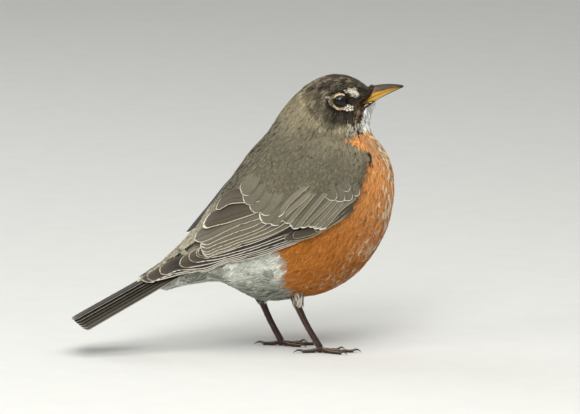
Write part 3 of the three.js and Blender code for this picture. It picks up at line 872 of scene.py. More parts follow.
def grained(name, roughness, bump, bump_size, detail=4.0, sheen=0.0, colour=None, stain=None,
            tint=0.12, gloss=None, spread=0.12):
    """A procedural surface: the piece's own colours, or one colour with stains, varied by noise,
    with uneven roughness and a fine bump. Noise sizes are in millimetres."""
    shading = Shading(name)
    place = shading.node("TexCoord", {}, "Object")

    def grain(size, octaves):
        inputs = {"Scale": 1000 / size, "Detail": octaves, "Vector": place}
        return shading.node("TexNoise", inputs, "Fac")

    if colour is None:
        base = shading.node("Attribute", {}, "Color", attribute_name="Plumage")
    else:
        inputs = {"Factor": grain(bump_size * 4, 5.0), "A": (*colour, 1), "B": (*stain, 1)}
        base = shading.node("Mix", inputs, "Result", data_type="RGBA")
    light = {"Value": grain(bump_size * 2.5, 3.0), "To Min": 1 - tint, "To Max": 1 + tint}
    varied = {0: base, "Scale": shading.node("MapRange", light, "Result")}
    rough = {
        "Value": grain(bump_size * 1.5, 2.0),
        "To Min": max(roughness - spread, 0.02),
        "To Max": min(roughness + spread, 1.0),
    }
    relief = {"Strength": bump, "Distance": bump_size / 4000, "Height": grain(bump_size, detail)}
    shading.surface(
        Base_Color=shading.node("VectorMath", varied, "Vector", operation="SCALE"),
        Roughness=shading.node("MapRange", rough, "Result"),
        Normal=shading.node("Bump", relief, "Normal"),
    )
    if sheen:
        shading.surface(Sheen_Weight=sheen, Sheen_Roughness=0.5)
    if gloss is not None:
        shading.surface(Specular_IOR_Level=gloss)
    return shading


def material(*form, **options):
    return grained(*form, **options).material


PLUMAGE = material("Plumage", roughness=0.85, bump=0.35, bump_size=0.5, sheen=0.06, gloss=0.15)
SKIN = material("Down", roughness=0.9, bump=0.5, bump_size=0.8, gloss=0.15)


# ---- skin ---------------------------------------------------------------------------------

SKIN_STEP = 4  # rows and columns of the body's grid to each of the skin's
SKIN_DEEPEST = 2.6


def build_skin():
    """One closed skin from the bill's root to the tail's, inside the coat by its depth."""
    rows = np.arange(0, GRID_STATIONS, SKIN_STEP)
    columns = np.arange(0, GRID_ANGLES - 1, SKIN_STEP)
    s, a = np.meshgrid(
        BODY_SURFACE.stations[rows], columns / (GRID_ANGLES - 1) * TAU, indexing="ij"
    )
    points, normal, _, _ = BODY_SURFACE.read(s, a)
    away, _ = from_eye(points)
    depth = np.minimum(coat_depth(s) + 0.15, SKIN_DEEPEST) * (0.35 + 0.65 * smooth(away, 1.1, 2.0))
    depth = depth - np.minimum(swell(s, off_back(a)), 0)
    inside = points - normal * depth[..., None]
    colours = markings(points, s, a)[0] * 0.8
    n, m = s.shape
    first = np.arange(m)
    last = first + (n - 1) * m
    ends = np.array([inside[0].mean(axis=0), inside[-1].mean(axis=0)])
    caps = np.concatenate([
        np.stack([np.full(m, n * m), np.roll(first, -1), first], axis=-1),
        np.stack([np.full(m, n * m + 1), last, np.roll(last, -1)], axis=-1),
    ])
    verts = np.concatenate([inside.reshape(-1, 3), ends])
    shades = np.concatenate([colours.reshape(-1, 3), colours[[0, -1], 0]])
    places = bake_place(s, a).reshape(-1, 2)
    places = np.concatenate([places, [[0.5, 0.0], [0.5, 1.0]]])
    faces = [grid_faces(n, m, True), caps]
    return new_mesh("skin", verts, faces, SKIN, "breast", shades, places)


skin = build_skin()
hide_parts("head", "neck", "trunk", "rump", "thigh_left", "thigh_right")


# ---- body feathers ------------------------------------------------------------------------

# Where the folded wing starts to hide the body: degrees from the back line, and stations.
COVERED_ANGLES = (12, 15, 20, 40, 60, 75, 88, 100, 110)
COVERED_STATIONS = (20, 13.5, 11.0, 10.3, 10.1, 9.2, 8.6, 8.5, 8.3)
WING_FRONT_OVERLAP = 7
COAT_REACH = (0.05, 16.2)  # stations with feather roots


def under_wing(station, angle):
    """Well inside the folded wing's cover, where no body feather shows."""
    phi = off_back(angle)
    low = np.interp(station, WING_FRONT_STATIONS, WING_FRONT_ANGLES) - WING_FRONT_OVERLAP
    return (station > np.interp(phi, COVERED_ANGLES, COVERED_STATIONS)) & (phi < low)


def open_coat(station, angle):
    points, _, along, _ = BODY_SURFACE.read(station, angle)
    away, bearing = from_eye(points)
    tip_away, tip_bearing = from_eye(points + flow(points, along) * coat_length(station)[:, None])
    clear = (away > ring_reach(bearing) + 0.05) & (tip_away > ring_reach(tip_bearing) - 0.12)
    first, last = COAT_REACH
    return clear & ~under_wing(station, angle) & (station > first) & (station < last)


roots_s, roots_a = scatter(
    open_coat, lambda s: np.maximum(coat_length(s) * SPACING_SHARE, SPACING_LEAST), seed=11
)
roots_phi = off_back(roots_a)
grey_limit = np.interp(roots_s, WING_FRONT_STATIONS, WING_FRONT_ANGLES)
roots_points = BODY_SURFACE.read(roots_s, roots_a)[0]
# Pale curled tips stand among the feathers low in front.
low_front = smooth(roots_s, 7.6, 8.8) * (1 - smooth(roots_s, 11.2, 12.0)) * smooth(roots_phi, 116, 150)
curl_share = 0.75 * low_front * smooth(noise(roots_points, 9.0, 6), -0.35, 0.25)
curled = np.random.default_rng(13).random(len(roots_s)) < curl_share
COATS = (
    # name, slot, which roots, barbs on a side (none for a curled tip), dress
    ("coat_head", "head", roots_s < 5.3, 8,
     dict(streak=0.7, tone=0.2, aspect=0.38, rise=0.15, contrast=0.28, stray=0.14, sweep=0.5)),
    ("coat_neck", "neck", (roots_s >= 5.3) & (roots_s < 7.7), 13,
     dict(streak=0.12, tone=0.06, aspect=0.46, rise=0.0, contrast=0.17, stray=0.2, loose=0.08,
          sweep=0.8, base=0.97)),
    ("coat_mantle", "breast", (roots_s >= 7.7) & (roots_s < 12.3) & (roots_phi < grey_limit), 19,
     dict(streak=0.1, tone=0.04, aspect=0.55, rise=0.0, contrast=0.32, base=1.0, sweep=0.85, loose=0.08)),
    ("coat_breast", "breast", (roots_s >= 7.7) & (roots_s < 12.5) & (roots_phi >= grey_limit), 18,
     dict(streak=0.1, tone=0.04, aspect=0.5, rise=0.1, loose=0.26, stray=0.2, contrast=0.2,
          base=1.0, sweep=0.9, longer=1.15, tip_only=1.0)),
    ("coat_rump", "rump", (roots_s >= 12.3) & (roots_phi < 55), 13,
     dict(streak=0.3, tone=0.05, aspect=0.5, loose=0.1, sweep=0.7, contrast=0.22, base=0.92)),
    ("coat_belly", "rump", (roots_s >= 12.5) & (roots_phi >= 55) | (roots_s >= 12.3)
     & (roots_phi >= 55) & (roots_phi < grey_limit), 16,
     dict(streak=0.1, tone=0.14, loose=0.5, stray=0.4, rise=0.6, longer=1.35, base=0.9, aspect=0.38,
          sweep=0.9, contrast=0.26)),
    ("coat_curls", "breast", curled, 0,
     dict(aspect=0.42, rise=0.05, stray=0.4, longer=0.8, colour=mix(CREAM, RUFOUS_EDGE, 0.3), tone=0.25)),
)
for number, (name, slot, these, barbs, dress) in enumerate(COATS):
    for side, half in (("left", roots_a < math.pi), ("right", roots_a >= math.pi)):
        chosen = these & half
        coat_piece(
            f"{name}_{side}", slot, roots_s[chosen], roots_a[chosen], barbs, 40 + number,
            dict(DRESS, **dress),
        )


# ---- long feathers ------------------------------------------------------------------------

VANE_ROWS = 34
SHAFT_AT = 0.36  # of the width, from the outer edge
VANE_COLUMNS = np.array(
    [0, 0.03, 0.07, 0.12, 0.2, 0.28, 0.335, 0.36, 0.385, 0.46, 0.58, 0.72, 0.86, 1.0]
)
SHAFT_COLUMN = 7
QUILL = paint(104, 97, 83)
QUILL_INNER = paint(84, 76, 63)
TERTIAL = paint(82, 72, 58)
QUILL_EDGE = paint(190, 182, 161)
PALE_TIP = paint(226, 218, 200)
SHAFT = paint(52, 44, 38)
PRIMARY = paint(98, 85, 70)
PRIMARY_EDGE = paint(214, 208, 194)
COVERT = paint(110, 105, 89)
COVERT_EDGE = paint(166, 155, 130)
TAIL = paint(84, 78, 68)
TAIL_EDGE = paint(150, 143, 128)


LOOK = dict(
    # outline: how round the tip is, and the root's width as a share
    round=0.8, root=0.6,
    # lie: the fall across the vane, and how far and how much of the root sinks in
    slope=0.07, sink=0.5, sink_share=0.3, hug=True,
    # colours: widths and strengths of the edge and the tip, and the shade of what a neighbour covers
    rim_strength=0.9, tip=0.6, tip_strength=0.9, tip_colour=PALE_TIP, shaft=SHAFT, tone=0.05,
)


def vane_grid(length, width, look, rng):
    """A feather's rows and columns as millimetres along it and in from its outer edge, whole
    and with the edge's splits cut, and the distance of each from the tip's outline."""
    share = 1 - (1 - np.linspace(0, 1, VANE_ROWS)) ** 1.6
    off = VANE_COLUMNS - SHAFT_AT
    reach = np.where(off < 0, SHAFT_AT + 0.03, 1.03 - SHAFT_AT)
    rounding = 1 - np.sqrt(1 - (off / reach) ** 2)
    ends = length - look["round"] * width * rounding
    along = share[:, None] * ends[None, :]
    taper = look["root"] + (1 - look["root"]) * smooth(along / length, 0.0, 0.45)
    inward = VANE_COLUMNS[None, :] * width * taper
    # Splits between barbs at the outer edge and the tip.
    edge_cut = np.zeros(VANE_ROWS)
    for _ in range(int(length / 9)):
        edge_cut[rng.integers(4, VANE_ROWS - 2)] += rng.uniform(0.05, 0.3)
    near_edge = np.clip(1 - VANE_COLUMNS / 0.12, 0, 1)
    cut = inward + edge_cut[:, None] * near_edge[None, :]
    tip_cut = rng.uniform(0, 0.35, len(VANE_COLUMNS)) * smooth(share, 0.85, 1)[:, None]
    return along - tip_cut, inward, cut, ends[None, :] - along


def vane_paint(along, inward, from_tip, width, look, rng):
    """Colours over a feather's rows and columns."""
    main, inner = look["main"], look["inner"]
    shaft = SHAFT_AT * width
    colour = mix(main, inner, smooth(inward, shaft * 0.9, width * 0.95) * 0.8)
    shown, rim, tip = look["shown"], look["rim"], look["tip"]
    under = smooth(inward, shown * 0.5, shown * 1.1) * (0.25 + 0.75 * smooth(from_tip, 2, 12))
    colour = colour * (1 - look["shadow"] * under)[..., None]
    own = np.full(along.shape, rng.uniform(0, 90))
    blotch = noise(np.stack([along, inward, own], axis=-1), 6.0, 8)
    colour = colour * (1 + 0.07 * blotch[..., None])
    rim_share = (1 - smooth(inward, rim * 0.7, rim * 1.5)) * look["rim_strength"]
    rim_share = rim_share * smooth(along, 2, 8)
    ragged = from_tip + 0.2 * blotch
    tip_share = (1 - smooth(ragged, tip * 0.6, tip * 1.5)) * look["tip_strength"]
    # A band of painted shade just inside each pale edge.
    shade_inside_rim = smooth(inward, rim * 1.2, rim * 2) * (1 - smooth(inward, rim * 3, rim * 5.5))
    colour = colour * (1 - 0.22 * shade_inside_rim[..., None])
    colour = mix(colour, look["edge"], rim_share)
    colour = mix(colour, look["tip_colour"], tip_share)
    shaft_at = shaft * (0.6 + 0.4 * inward.max(axis=1, keepdims=True) / width)
    on_shaft = np.exp(-((inward - shaft_at) / 0.28) ** 2)
    colour = mix(colour, look["shaft"], on_shaft * 0.75)
    return colour * math.exp(rng.normal(0, look["tone"]))


def vane_relief(along, inward, length):
    """Height over the feather's own sheet: a raised shaft, a soft curl at the outer edge and
    the slight waves of its barbs."""
    shaft = inward[:, SHAFT_COLUMN:SHAFT_COLUMN + 1]
    ridge = 0.14 * np.exp(-((inward - shaft) / 0.35) ** 2) * (1 - 0.6 * along / length)
    curl = -0.05 * np.exp(-inward / 0.7)
    wave = 0.02 * np.sin(along * 0.9 + inward * 0.8)
    return ridge + curl + wave


class FeatherSet:
    """Long feathers gathered into one mesh, each with its own cell of the bake map."""

    def __init__(self, cells):
        self.across = math.ceil(math.sqrt(cells))
        self.down = math.ceil(cells / self.across)
        self.verts, self.colours, self.places, self.vanes = [], [], [], []

    def add(self, verts, colours, along, inward, width, length):
        number = len(self.verts)
        shaft = inward[:, SHAFT_COLUMN:SHAFT_COLUMN + 1]
        u = 0.04 + 0.92 * np.clip(inward / (width * 1.05), 0, 1)
        v = 0.04 + 0.92 * np.clip(along / (length * 1.02), 0, 1)
        u = (u + number % self.across) / self.across
        v = (v + number // self.across) / self.down
        self.verts.append(verts.reshape(-1, 3))
        self.colours.append(colours.reshape(-1, 3))
        self.places.append(np.stack([u, v], axis=-1).reshape(-1, 2))
        own = np.full(along.shape, number * 17.0)
        self.vanes.append(np.stack([along, inward - shaft, own], axis=-1).reshape(-1, 3))

    def build(self, name, slot, finish):
        rows, columns = VANE_ROWS, len(VANE_COLUMNS)
        quads = grid_faces(rows, columns, False)
        offsets = np.arange(len(self.verts))[:, None, None] * rows * columns
        faces = (quads[None] + offsets).reshape(-1, 4)
        piece = new_mesh(
            name, np.concatenate(self.verts), [faces], finish, slot,
            np.concatenate(self.colours), np.concatenate(self.places),
        )
        vane = piece.data.attributes.new("Vane", "FLOAT_VECTOR", "POINT")
        vane.data.foreach_set("vector", np.concatenate(self.vanes).astype(np.float32).reshape(-1))
        return piece


def vane_material(name, roughness, gloss):
    """Fine barbs slanting out from each shaft, in colour and relief."""
    shading = grained(name, roughness, bump=0.25, bump_size=0.6, gloss=gloss, tint=0.06)
    vane = shading.node("Attribute", {}, "Vector", attribute_name="Vane")
    along = shading.node("SeparateXYZ", {0: vane}, "X")
    off, own = along.node.outputs["Y"], along.node.outputs["Z"]
    out = shading.node("Math", {0: off}, 0, operation="ABSOLUTE")
    slant = shading.node("Math", {0: out, 1: -1.1, 2: along}, 0, operation="MULTIPLY_ADD")
    flat = shading.node("Math", {0: off, 1: 0.08}, 0, operation="MULTIPLY")
    lines = shading.node("CombineXYZ", {"X": slant, "Y": flat, "Z": own}, 0)
    barbs = shading.node("TexNoise", {"Scale": 2.6, "Detail": 2.0, "Vector": lines}, "Fac")
    raised = shading.node("Bump", {"Strength": 0.5, "Distance": 0.0002, "Height": barbs}, "Normal")
    grain = shading.shader.inputs["Normal"].links[0].from_node
    shading.feed(grain.inputs["Normal"], raised)
    light = {"Value": barbs, "From Min": 0.25, "From Max": 0.75, "To Min": 0.86, "To Max": 1.14}
    base = shading.shader.inputs["Base Color"].links[0].from_socket
    lined = {0: base, "Scale": shading.node("MapRange", light, "Result")}
    shading.surface(Base_Color=shading.node("VectorMath", lined, "Vector", operation="SCALE"))
    return shading.material


VANES = vane_material("Vanes", roughness=0.62, gloss=0.35)

# ---- the wings ----------------------------------------------------------------------------

WING_STATIONS = (8.0, 9.0, 10.0, 11.0, 13.0, 15.0, 17.5)
WING_STANDS = (0.7, 1.5, 2.0, 2.1, 2.0, 2.3, 3.6)  # of the lowest feathers over the body
# Between these degrees off the back line the wing leaves the body; the left wing later.
WING_LEAVES = {"left": (8, 34), "right": (0, 30)}
EDGE_POINTS = 90
CROSS_STEPS = 3


def wing_feather(feathers, side, rng, anchors, width, level, look):
    """A feather on the folded wing. Its anchors are (station, degrees from the back line) along
    its outer, lower edge, and last the point of its tip."""
    sign = SIDES[side]
    anchors = np.array(anchors, float)

    def inward_step(s, a, normal, way):
        ds, da = BODY_SURFACE.step(s, a, unit(np.cross(normal, way)))
        flip = np.where(da * sign > 0, -1, 1)
        return ds * flip, da * flip

    def edge_curve(rows):
        fine = through(rows, np.linspace(0, len(rows) - 1, EDGE_POINTS))
        s, a = fine[:, 0], np.unwrap((np.radians(fine[:, 1]) * sign) % TAU)
        point, normal, _, _ = BODY_SURFACE.read(s, a)
        way = unit(np.gradient(point, axis=0))
        arc = np.concatenate([[0], np.cumsum(np.linalg.norm(np.diff(point, axis=0), axis=1))])
        return s, a, *inward_step(s, a, normal, way), arc

    # The tip is the shaft's end, so the outer edge ends as far out from it.
    _, _, ds, da, _ = edge_curve(anchors)
    drop = SHAFT_AT * width
    anchors[-1, 0] -= ds[-1] * drop
    anchors[-1, 1] -= math.degrees(da[-1]) * drop * sign
    s, a, _, _, arc = edge_curve(anchors)
    length = arc[-1]
    along, whole, inward, from_tip = vane_grid(length, width, look, rng)
    vs, va = np.interp(along, arc, s), np.interp(along, arc, a)
    way_s = np.interp(along, arc, np.gradient(s, arc))
    way_a = np.interp(along, arc, np.gradient(a, arc))
    for _ in range(CROSS_STEPS):
        _, normal, tangent_s, tangent_a = BODY_SURFACE.read(vs, va)
        way = unit(tangent_s * way_s[..., None] + tangent_a * way_a[..., None])
        step_s, step_a = inward_step(vs, va, normal, way)
        vs = vs + step_s * inward / CROSS_STEPS
        va = va + step_a * inward / CROSS_STEPS
    point, normal, _, _ = BODY_SURFACE.read(np.clip(vs, 0, STATIONS), va)
    height = np.interp(vs, WING_STATIONS, WING_STANDS) + level
    if look["hug"]:
        height = height * smooth(off_back(va), *WING_LEAVES[side])
    height = height - look["slope"] * inward
    height = height + vane_relief(along, inward, length)
    root = 1 - smooth(along, 0, length * look["sink_share"])
    height = height - look["sink"] * root
    verts = point + normal * height[..., None]
    colours = vane_paint(along, whole, from_tip, width, look, rng)
    feathers.add(verts, colours, along, whole, width, length)


SECONDARY_EDGES = (
    # anchors of the lower edge, then the tip; width
    (((10.3, 60), (10.88, 57), (11.55, 47), (12.1, 41), (12.70, 36), (13.08, 23)), 11.0),
    (((10.3, 63), (11.03, 59.5), (11.75, 50), (12.28, 44), (12.78, 40), (13.0, 33)), 9.5),
    (((10.3, 66), (11.13, 62), (11.90, 53), (12.38, 47.5), (12.90, 43), (13.12, 36)), 9.0),
    (((10.3, 71), (11.03, 66), (12.00, 54.8), (12.5, 50.3), (12.95, 46.5), (13.28, 39)), 9.0),
    (((10.3, 76), (11.05, 69.5), (12.04, 57.2), (12.58, 52.8), (13.0, 49.2), (13.36, 42)), 9.0),
    (((10.3, 81), (11.05, 73), (12.02, 60.0), (12.62, 55.4), (13.04, 51.5), (13.42, 45)), 8.5),
)
PRIMARY_EDGES = (
    (((10.90, 76), (11.40, 69.5), (12.25, 59.8), (12.80, 55), (13.3, 51), (13.56, 41)), 8.5),
    (((10.83, 81), (11.48, 72), (12.40, 62), (13.00, 56.5), (13.42, 52), (13.68, 41)), 8.0),
    (((10.80, 84), (11.55, 73.5), (12.50, 63.8), (13.18, 58.5), (13.8, 53), (14.14, 43)), 8.0),
    (((10.83, 87), (11.65, 75.5), (12.58, 65.6), (13.28, 60.5), (14.2, 58), (14.80, 50)), 7.5),
    (((10.80, 89), (11.70, 76.8), (12.64, 67.2), (13.38, 62.2), (14.8, 65), (15.4, 61), (15.82, 48)), 7.5),
    (((10.78, 91), (11.75, 78), (12.70, 68.6), (13.44, 63.8), (14.95, 70), (15.9, 64), (16.5, 42)), 7.0),
    (((10.70, 93), (11.80, 79), (12.76, 70.0), (13.48, 65.3), (15.03, 74), (16.07, 68), (16.85, 32)), 7.0),
)
TERTIAL_EDGES = (
    (((10.3, 57), (10.70, 54), (11.33, 44), (11.83, 36), (12.2, 29), (12.34, 19)), 10.0),
    (((10.0, 54), (10.5, 47), (10.83, 36), (11.08, 29), (11.45, 18)), 9.0),
)
INNERMOST = (((9.9, 22), (10.5, 22), (11.2, 20.5), (11.9, 18), (12.6, 14), (13.15, 8)), 8.0)
GREATER_COVERTS = (
    (((9.0, 77), (9.5, 72), (10.1, 68), (10.6, 64)), 10.0),
    (((9.2, 80), (9.85, 75), (10.43, 71), (10.74, 67)), 9.0),
    (((9.1, 84), (9.55, 80), (10.18, 77), (10.64, 72.5)), 8.5),
    (((8.9, 92), (9.35, 88), (10.05, 84), (10.70, 79)), 8.5),
    (((8.8, 98), (9.28, 95), (10.05, 89), (10.56, 83)), 8.0),
    (((8.8, 103), (9.28, 99), (9.75, 95), (10.46, 87.5)), 7.5),
    (((8.85, 107), (9.25, 103), (9.95, 97), (10.44, 91)), 7.0),
    (((8.85, 113), (9.15, 110), (9.68, 102), (10.40, 94.5)), 7.0),
)
ALULA = (
    (((9.35, 110), (9.75, 104), (10.15, 99.5), (10.50, 93)), 5.0),
    (((9.45, 111), (10.0, 103.5), (10.45, 97), (10.95, 83)), 4.5),
    (((9.5, 112), (10.2, 101.5), (10.8, 92), (11.15, 79.5)), 4.0),
)
MEDIAN_COVERTS = (
    (((8.25, 97), (8.6, 100), (8.92, 101.5)), 6.0),
    (((8.7, 88), (9.0, 92), (9.36, 94.5)), 7.0),
    (((8.7, 95), (9.0, 98.5), (9.3, 100.5)), 6.5),
    (((8.6, 100), (8.9, 104), (9.18, 106)), 6.5),
    (((8.5, 105), (8.7, 109), (8.95, 110.5)), 6.0),
)
SCAPULARS = (
    # the lowest first
    (((9.7, 68), (10.3, 72), (10.6, 71), (10.86, 65.5)), 10.0),
    (((9.7, 62), (10.3, 66), (10.7, 65.5), (10.93, 60)), 10.0),
    (((9.4, 56), (9.9, 61), (10.4, 61.5), (10.70, 55.5)), 10.5),
    (((9.4, 49), (9.9, 54), (10.45, 55), (10.77, 48.5)), 10.5),
    (((9.3, 42), (9.8, 46), (10.35, 47), (10.65, 41)), 10.0),
    (((9.2, 35), (9.7, 39), (10.15, 40), (10.42, 34)), 9.5),
)
SCAPULAR_TIPS = (0.7, 0.7, 0.5, 0.35, 0.3, 0.3)  # width of their white ends

# How the feathers of each row look: colours, widths in millimetres, strengths.
QUILLS = dict(
    LOOK, main=QUILL, inner=QUILL_INNER, edge=QUILL_EDGE, shown=2.6, rim=0.34,
    rim_strength=0.85, slope=0.12, shadow=0.5,
)
# The primaries' vanes are painted darker than their own brown, and deeply shaded where covered: painted
# shade for the dark lines between their pale edges.
PRIMARY_LOOK = dict(
    QUILLS, main=PRIMARY * 0.5, inner=PRIMARY * 0.85, edge=PRIMARY_EDGE, rim=0.3, shown=1.1,
    tip=0.45, tip_colour=QUILL_EDGE, round=1.3, shadow=0.88, slope=0.16,
)
ALULA_LOOK = dict(
    QUILLS, main=PRIMARY * 0.55, inner=PRIMARY * 0.3, rim=0.25, tip=0.3, shown=2.5,
    edge=COVERT_EDGE, tip_colour=COVERT_EDGE,
)
SECONDARY_SHOWN = (2.4, 2.4, 2.6, 3.2, 3.8, 7.0)  # width of each that its neighbour leaves bare
TERTIAL_LOOK = dict(QUILLS, inner=TERTIAL * 0.4, shadow=0.0, rim=0.35, slope=0.06, round=0.6)
TERTIAL_TONES = (0.8, 1.0)
TERTIAL_TIPS = (1.4, 0.5)
# The left wing's innermost feather stands clear of the back, over a dark gap; its vane is painted nearly
# black, as shade, with a pale edge.
INNERMOST_SHADED_LOOK = dict(
    QUILLS, main=TERTIAL * 0.3, inner=TERTIAL * 0.2, shadow=0.0, rim=0.8, rim_strength=1.0,
    slope=0.35, hug=False, round=0.9, sink=1.2,
)
COVERT_LOOK = dict(
    LOOK, main=COVERT, inner=COVERT * 0.75, edge=COVERT_EDGE, shown=4.0, rim=0.26, slope=0.14,
    shadow=0.5, round=0.75, root=0.7,
)
MEDIAN_LOOK = dict(
    COVERT_LOOK, main=COVERT * 0.76, rim=0.2, rim_strength=0.45, tip=0.4, shown=3.2, slope=0.12,
    sink=1.2, shaft=COVERT * 0.8,
)
SCAPULAR_LOOK = dict(
    COVERT_LOOK, main=MANTLE * 0.88, inner=MANTLE * 0.88, rim=0.2, rim_strength=0.0, shown=12.0,
    shadow=0.0, slope=0.05, round=0.5, edge=PALE_TIP, sink=1.5, sink_share=0.65,
    shaft=MANTLE * 0.85, tip_strength=0.75,
)


def build_wing(side, seed):
    """The folded wing, each row of feathers from the lowest to the one over the rest."""
    rng = np.random.default_rng(seed)

    def row(feathers, edges, level, rise, looks):
        """A row whose first feather is at a level, and each further one a rise above."""
        for k, (anchors, width) in enumerate(edges):
            wing_feather(feathers, side, rng, anchors, width, level + rise * k, looks(k))

    def finish(feathers, part, slot):
        piece = feathers.build(f"wing_{side}_{part}_vanes", slot, VANES)
        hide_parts(f"wing_{side}_{part}")

    primaries = FeatherSet(len(PRIMARY_EDGES) + len(ALULA))
    row(primaries, reversed(PRIMARY_EDGES), level=0.1, rise=0.07, looks=lambda k: PRIMARY_LOOK)
    row(primaries, reversed(ALULA), level=0.6, rise=0.2, looks=lambda k: ALULA_LOOK)
    finish(primaries, "primaries", "quill")

    secondaries = FeatherSet(len(SECONDARY_EDGES) + len(TERTIAL_EDGES) + 1)
    row(secondaries, reversed(SECONDARY_EDGES), level=0.8, rise=0.09,
        looks=lambda k: dict(QUILLS, shown=SECONDARY_SHOWN[k]))
    row(secondaries, TERTIAL_EDGES, level=1.5, rise=0.4,
        looks=lambda k: dict(TERTIAL_LOOK, main=TERTIAL * TERTIAL_TONES[k], tip=TERTIAL_TIPS[k]))
    if side == "left":
        row(secondaries, [INNERMOST], level=0.85, rise=0.0, looks=lambda k: INNERMOST_SHADED_LOOK)
    finish(secondaries, "secondaries", "quill")

    coverts = FeatherSet(len(GREATER_COVERTS) + len(MEDIAN_COVERTS) + len(SCAPULARS))
    row(coverts, reversed(GREATER_COVERTS), level=1.35, rise=0.07,
        looks=lambda k: dict(COVERT_LOOK, tip=rng.uniform(0.5, 1.4)))
    row(coverts, reversed(MEDIAN_COVERTS), level=1.95, rise=0.05, looks=lambda k: MEDIAN_LOOK)
    row(coverts, SCAPULARS, level=1.75, rise=0.1,
        looks=lambda k: dict(SCAPULAR_LOOK, tip=SCAPULAR_TIPS[k]))
    finish(coverts, "coverts", "wing")


for number, side in enumerate(SIDES):
    build_wing(side, 70 + number)


# ---- the tail -----------------------------------------------------------------------------

TAIL_ROOT = np.array([-82.0, 0, 51.9])
TAIL_SLOPE = math.radians(28.3)
TAIL_LENGTH = 63.4
TAIL_STEP_SHORTER = 0.5
TAIL_VANE_WIDTH = 11.0
TAIL_PAIRS = 6
TAIL_MIDDLE_OFFSET = 1.3
TAIL_SPREAD = 1.15
TAIL_HIDDEN = 17.0  # of each feather, forward of the tail's root, in the rump
TAIL_FAN = math.radians(0.9)
TAIL_DROP = 1.0
TAIL_ROOF = math.radians(5.5)


def turned(points, axis, angle):
    """Points turned about an axis through the origin."""
    turn = np.array(Matrix.Rotation(angle, 3, axis))
    return points @ turn.T


# Pairs from the middle, uppermost one outward: tone, and how plainly the outer edge shows.
TAIL_TONES = (1.0, 0.8, 0.55, 0.5, 0.6, 0.75)
TAIL_RIMS = (1.0, 0.9, 0.1, 0.1, 0.25, 1.0)
TAIL_SHOWN = (9.0, 3.5, 3.5, 3.5, 3.5, 3.5)
TAIL_LOOK = dict(
    LOOK, inner=TAIL * 0.5, edge=TAIL_EDGE, rim=0.35, tip=0.5, tip_colour=TAIL_EDGE, shadow=0.7,
    tone=0.04, round=0.45, root=0.7,
)


def tail_feather(pair, sign, rng):
    """One feather's grid, laid in its place in the fan, with its colours."""
    look = dict(
        TAIL_LOOK, main=TAIL * TAIL_TONES[pair], rim_strength=TAIL_RIMS[pair], shown=TAIL_SHOWN[pair]
    )
    whole = TAIL_LENGTH - TAIL_STEP_SHORTER * pair + TAIL_HIDDEN
    along, inward, _, from_tip = vane_grid(whole, TAIL_VANE_WIDTH, look, rng)
    across = SHAFT_AT * inward[:, -1:] - inward + TAIL_VANE_WIDTH * (0.5 - SHAFT_AT)
    relief = vane_relief(along, inward, whole) - 0.3 - 0.02 * inward
    points = np.stack([along - TAIL_HIDDEN, sign * across, relief], axis=-1)
    points = turned(points, "X", -sign * TAIL_ROOF * (pair + 0.5))
    points = turned(points, "Z", sign * TAIL_FAN * pair)
    points = points + (0, sign * (TAIL_MIDDLE_OFFSET + TAIL_SPREAD * pair), -TAIL_DROP * pair)
    points = turned(turned(points, "Y", TAIL_SLOPE), "Z", math.pi) + TAIL_ROOT
    colours = vane_paint(along, inward, from_tip, TAIL_VANE_WIDTH, look, rng)
    return points, colours, along, inward, TAIL_VANE_WIDTH, whole


def build_tail():
    rng = np.random.default_rng(90)
    feathers = FeatherSet(2 * TAIL_PAIRS)
    for pair in range(TAIL_PAIRS):
        for sign in SIDES.values():
            feathers.add(*tail_feather(pair, sign, rng))
    piece = feathers.build("tail_vanes", "tail", VANES)
    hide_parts("tail")


build_tail()


# ---- tubes and plain surfaces -------------------------------------------------------------

def tube(points, radii, sides, rings, across=1.0, form=None):
    """Rings along a curve through the points. `form` may scale each ring point by its share
    along the tube and its angle. Gives (rings, sides, xyz), shares and angles."""
    fine = through(points, np.linspace(0, len(points) - 1, 400))
    arc = np.concatenate([[0], np.cumsum(np.linalg.norm(np.diff(fine, axis=0), axis=1))])
    share = np.linspace(0, 1, rings)
    centre = np.stack([np.interp(share * arc[-1], arc, fine[:, k]) for k in range(3)], axis=-1)
    way = unit(np.gradient(centre, axis=0))
    sideways = np.tile((0.0, 1.0, 0.0), (rings, 1))
    if abs(way[:, 1]).max() > 0.8:
        sideways = np.tile((1.0, 0.0, 0.0), (rings, 1))
    left = unit(sideways - dot(sideways, way)[:, None] * way)
    ahead = np.cross(left, way)
    radius = np.interp(share * (len(radii) - 1), np.arange(len(radii)), radii)
    angle = np.arange(sides) / sides * TAU
    shares, angles = np.meshgrid(share, angle, indexing="ij")
    scale = radius[:, None] * (form(shares, angles) if form else 1.0)
    out = (
        ahead[:, None] * (scale * np.cos(angles))[..., None]
        + left[:, None] * (scale * across * np.sin(angles))[..., None]
    )
    return centre[:, None] + out, shares, angles


def closed_tube(name, slot, finish, points, colours):
    """A tube's rings as a mesh with flat ends."""
    rings, sides = points.shape[:2]
    first = np.arange(sides)
    last = first + (rings - 1) * sides
    faces = [grid_faces(rings, sides, True)]
    for middle, ring, after in (
        (rings * sides, np.roll(first, -1), first),
        (rings * sides + 1, last, np.roll(last, -1)),
    ):
        faces.append(np.stack([np.full(sides, middle), ring, after], axis=-1))
    verts = np.concatenate([points.reshape(-1, 3), points[[0, -1]].mean(axis=1)])
    shades = np.concatenate([colours.reshape(-1, 3), colours[[0, -1]].mean(axis=1)])
    return new_mesh(name, verts, faces, finish, slot, shades)


# ---- eyes ---------------------------------------------------------------------------------

PUPIL_RADIUS = 2.1
IRIS_RADIUS = 3.5
IRIS = paint(20, 12, 9)
PUPIL = paint(9, 8, 8)
LID = paint(24, 21, 20)
EYE = material(
    "Eye", roughness=0.04, bump=0.02, bump_size=0.4, tint=0.08, gloss=0.35, spread=0.01
)
LIDS = material("Lids", roughness=0.55, bump=0.4, bump_size=0.35, gloss=0.3)


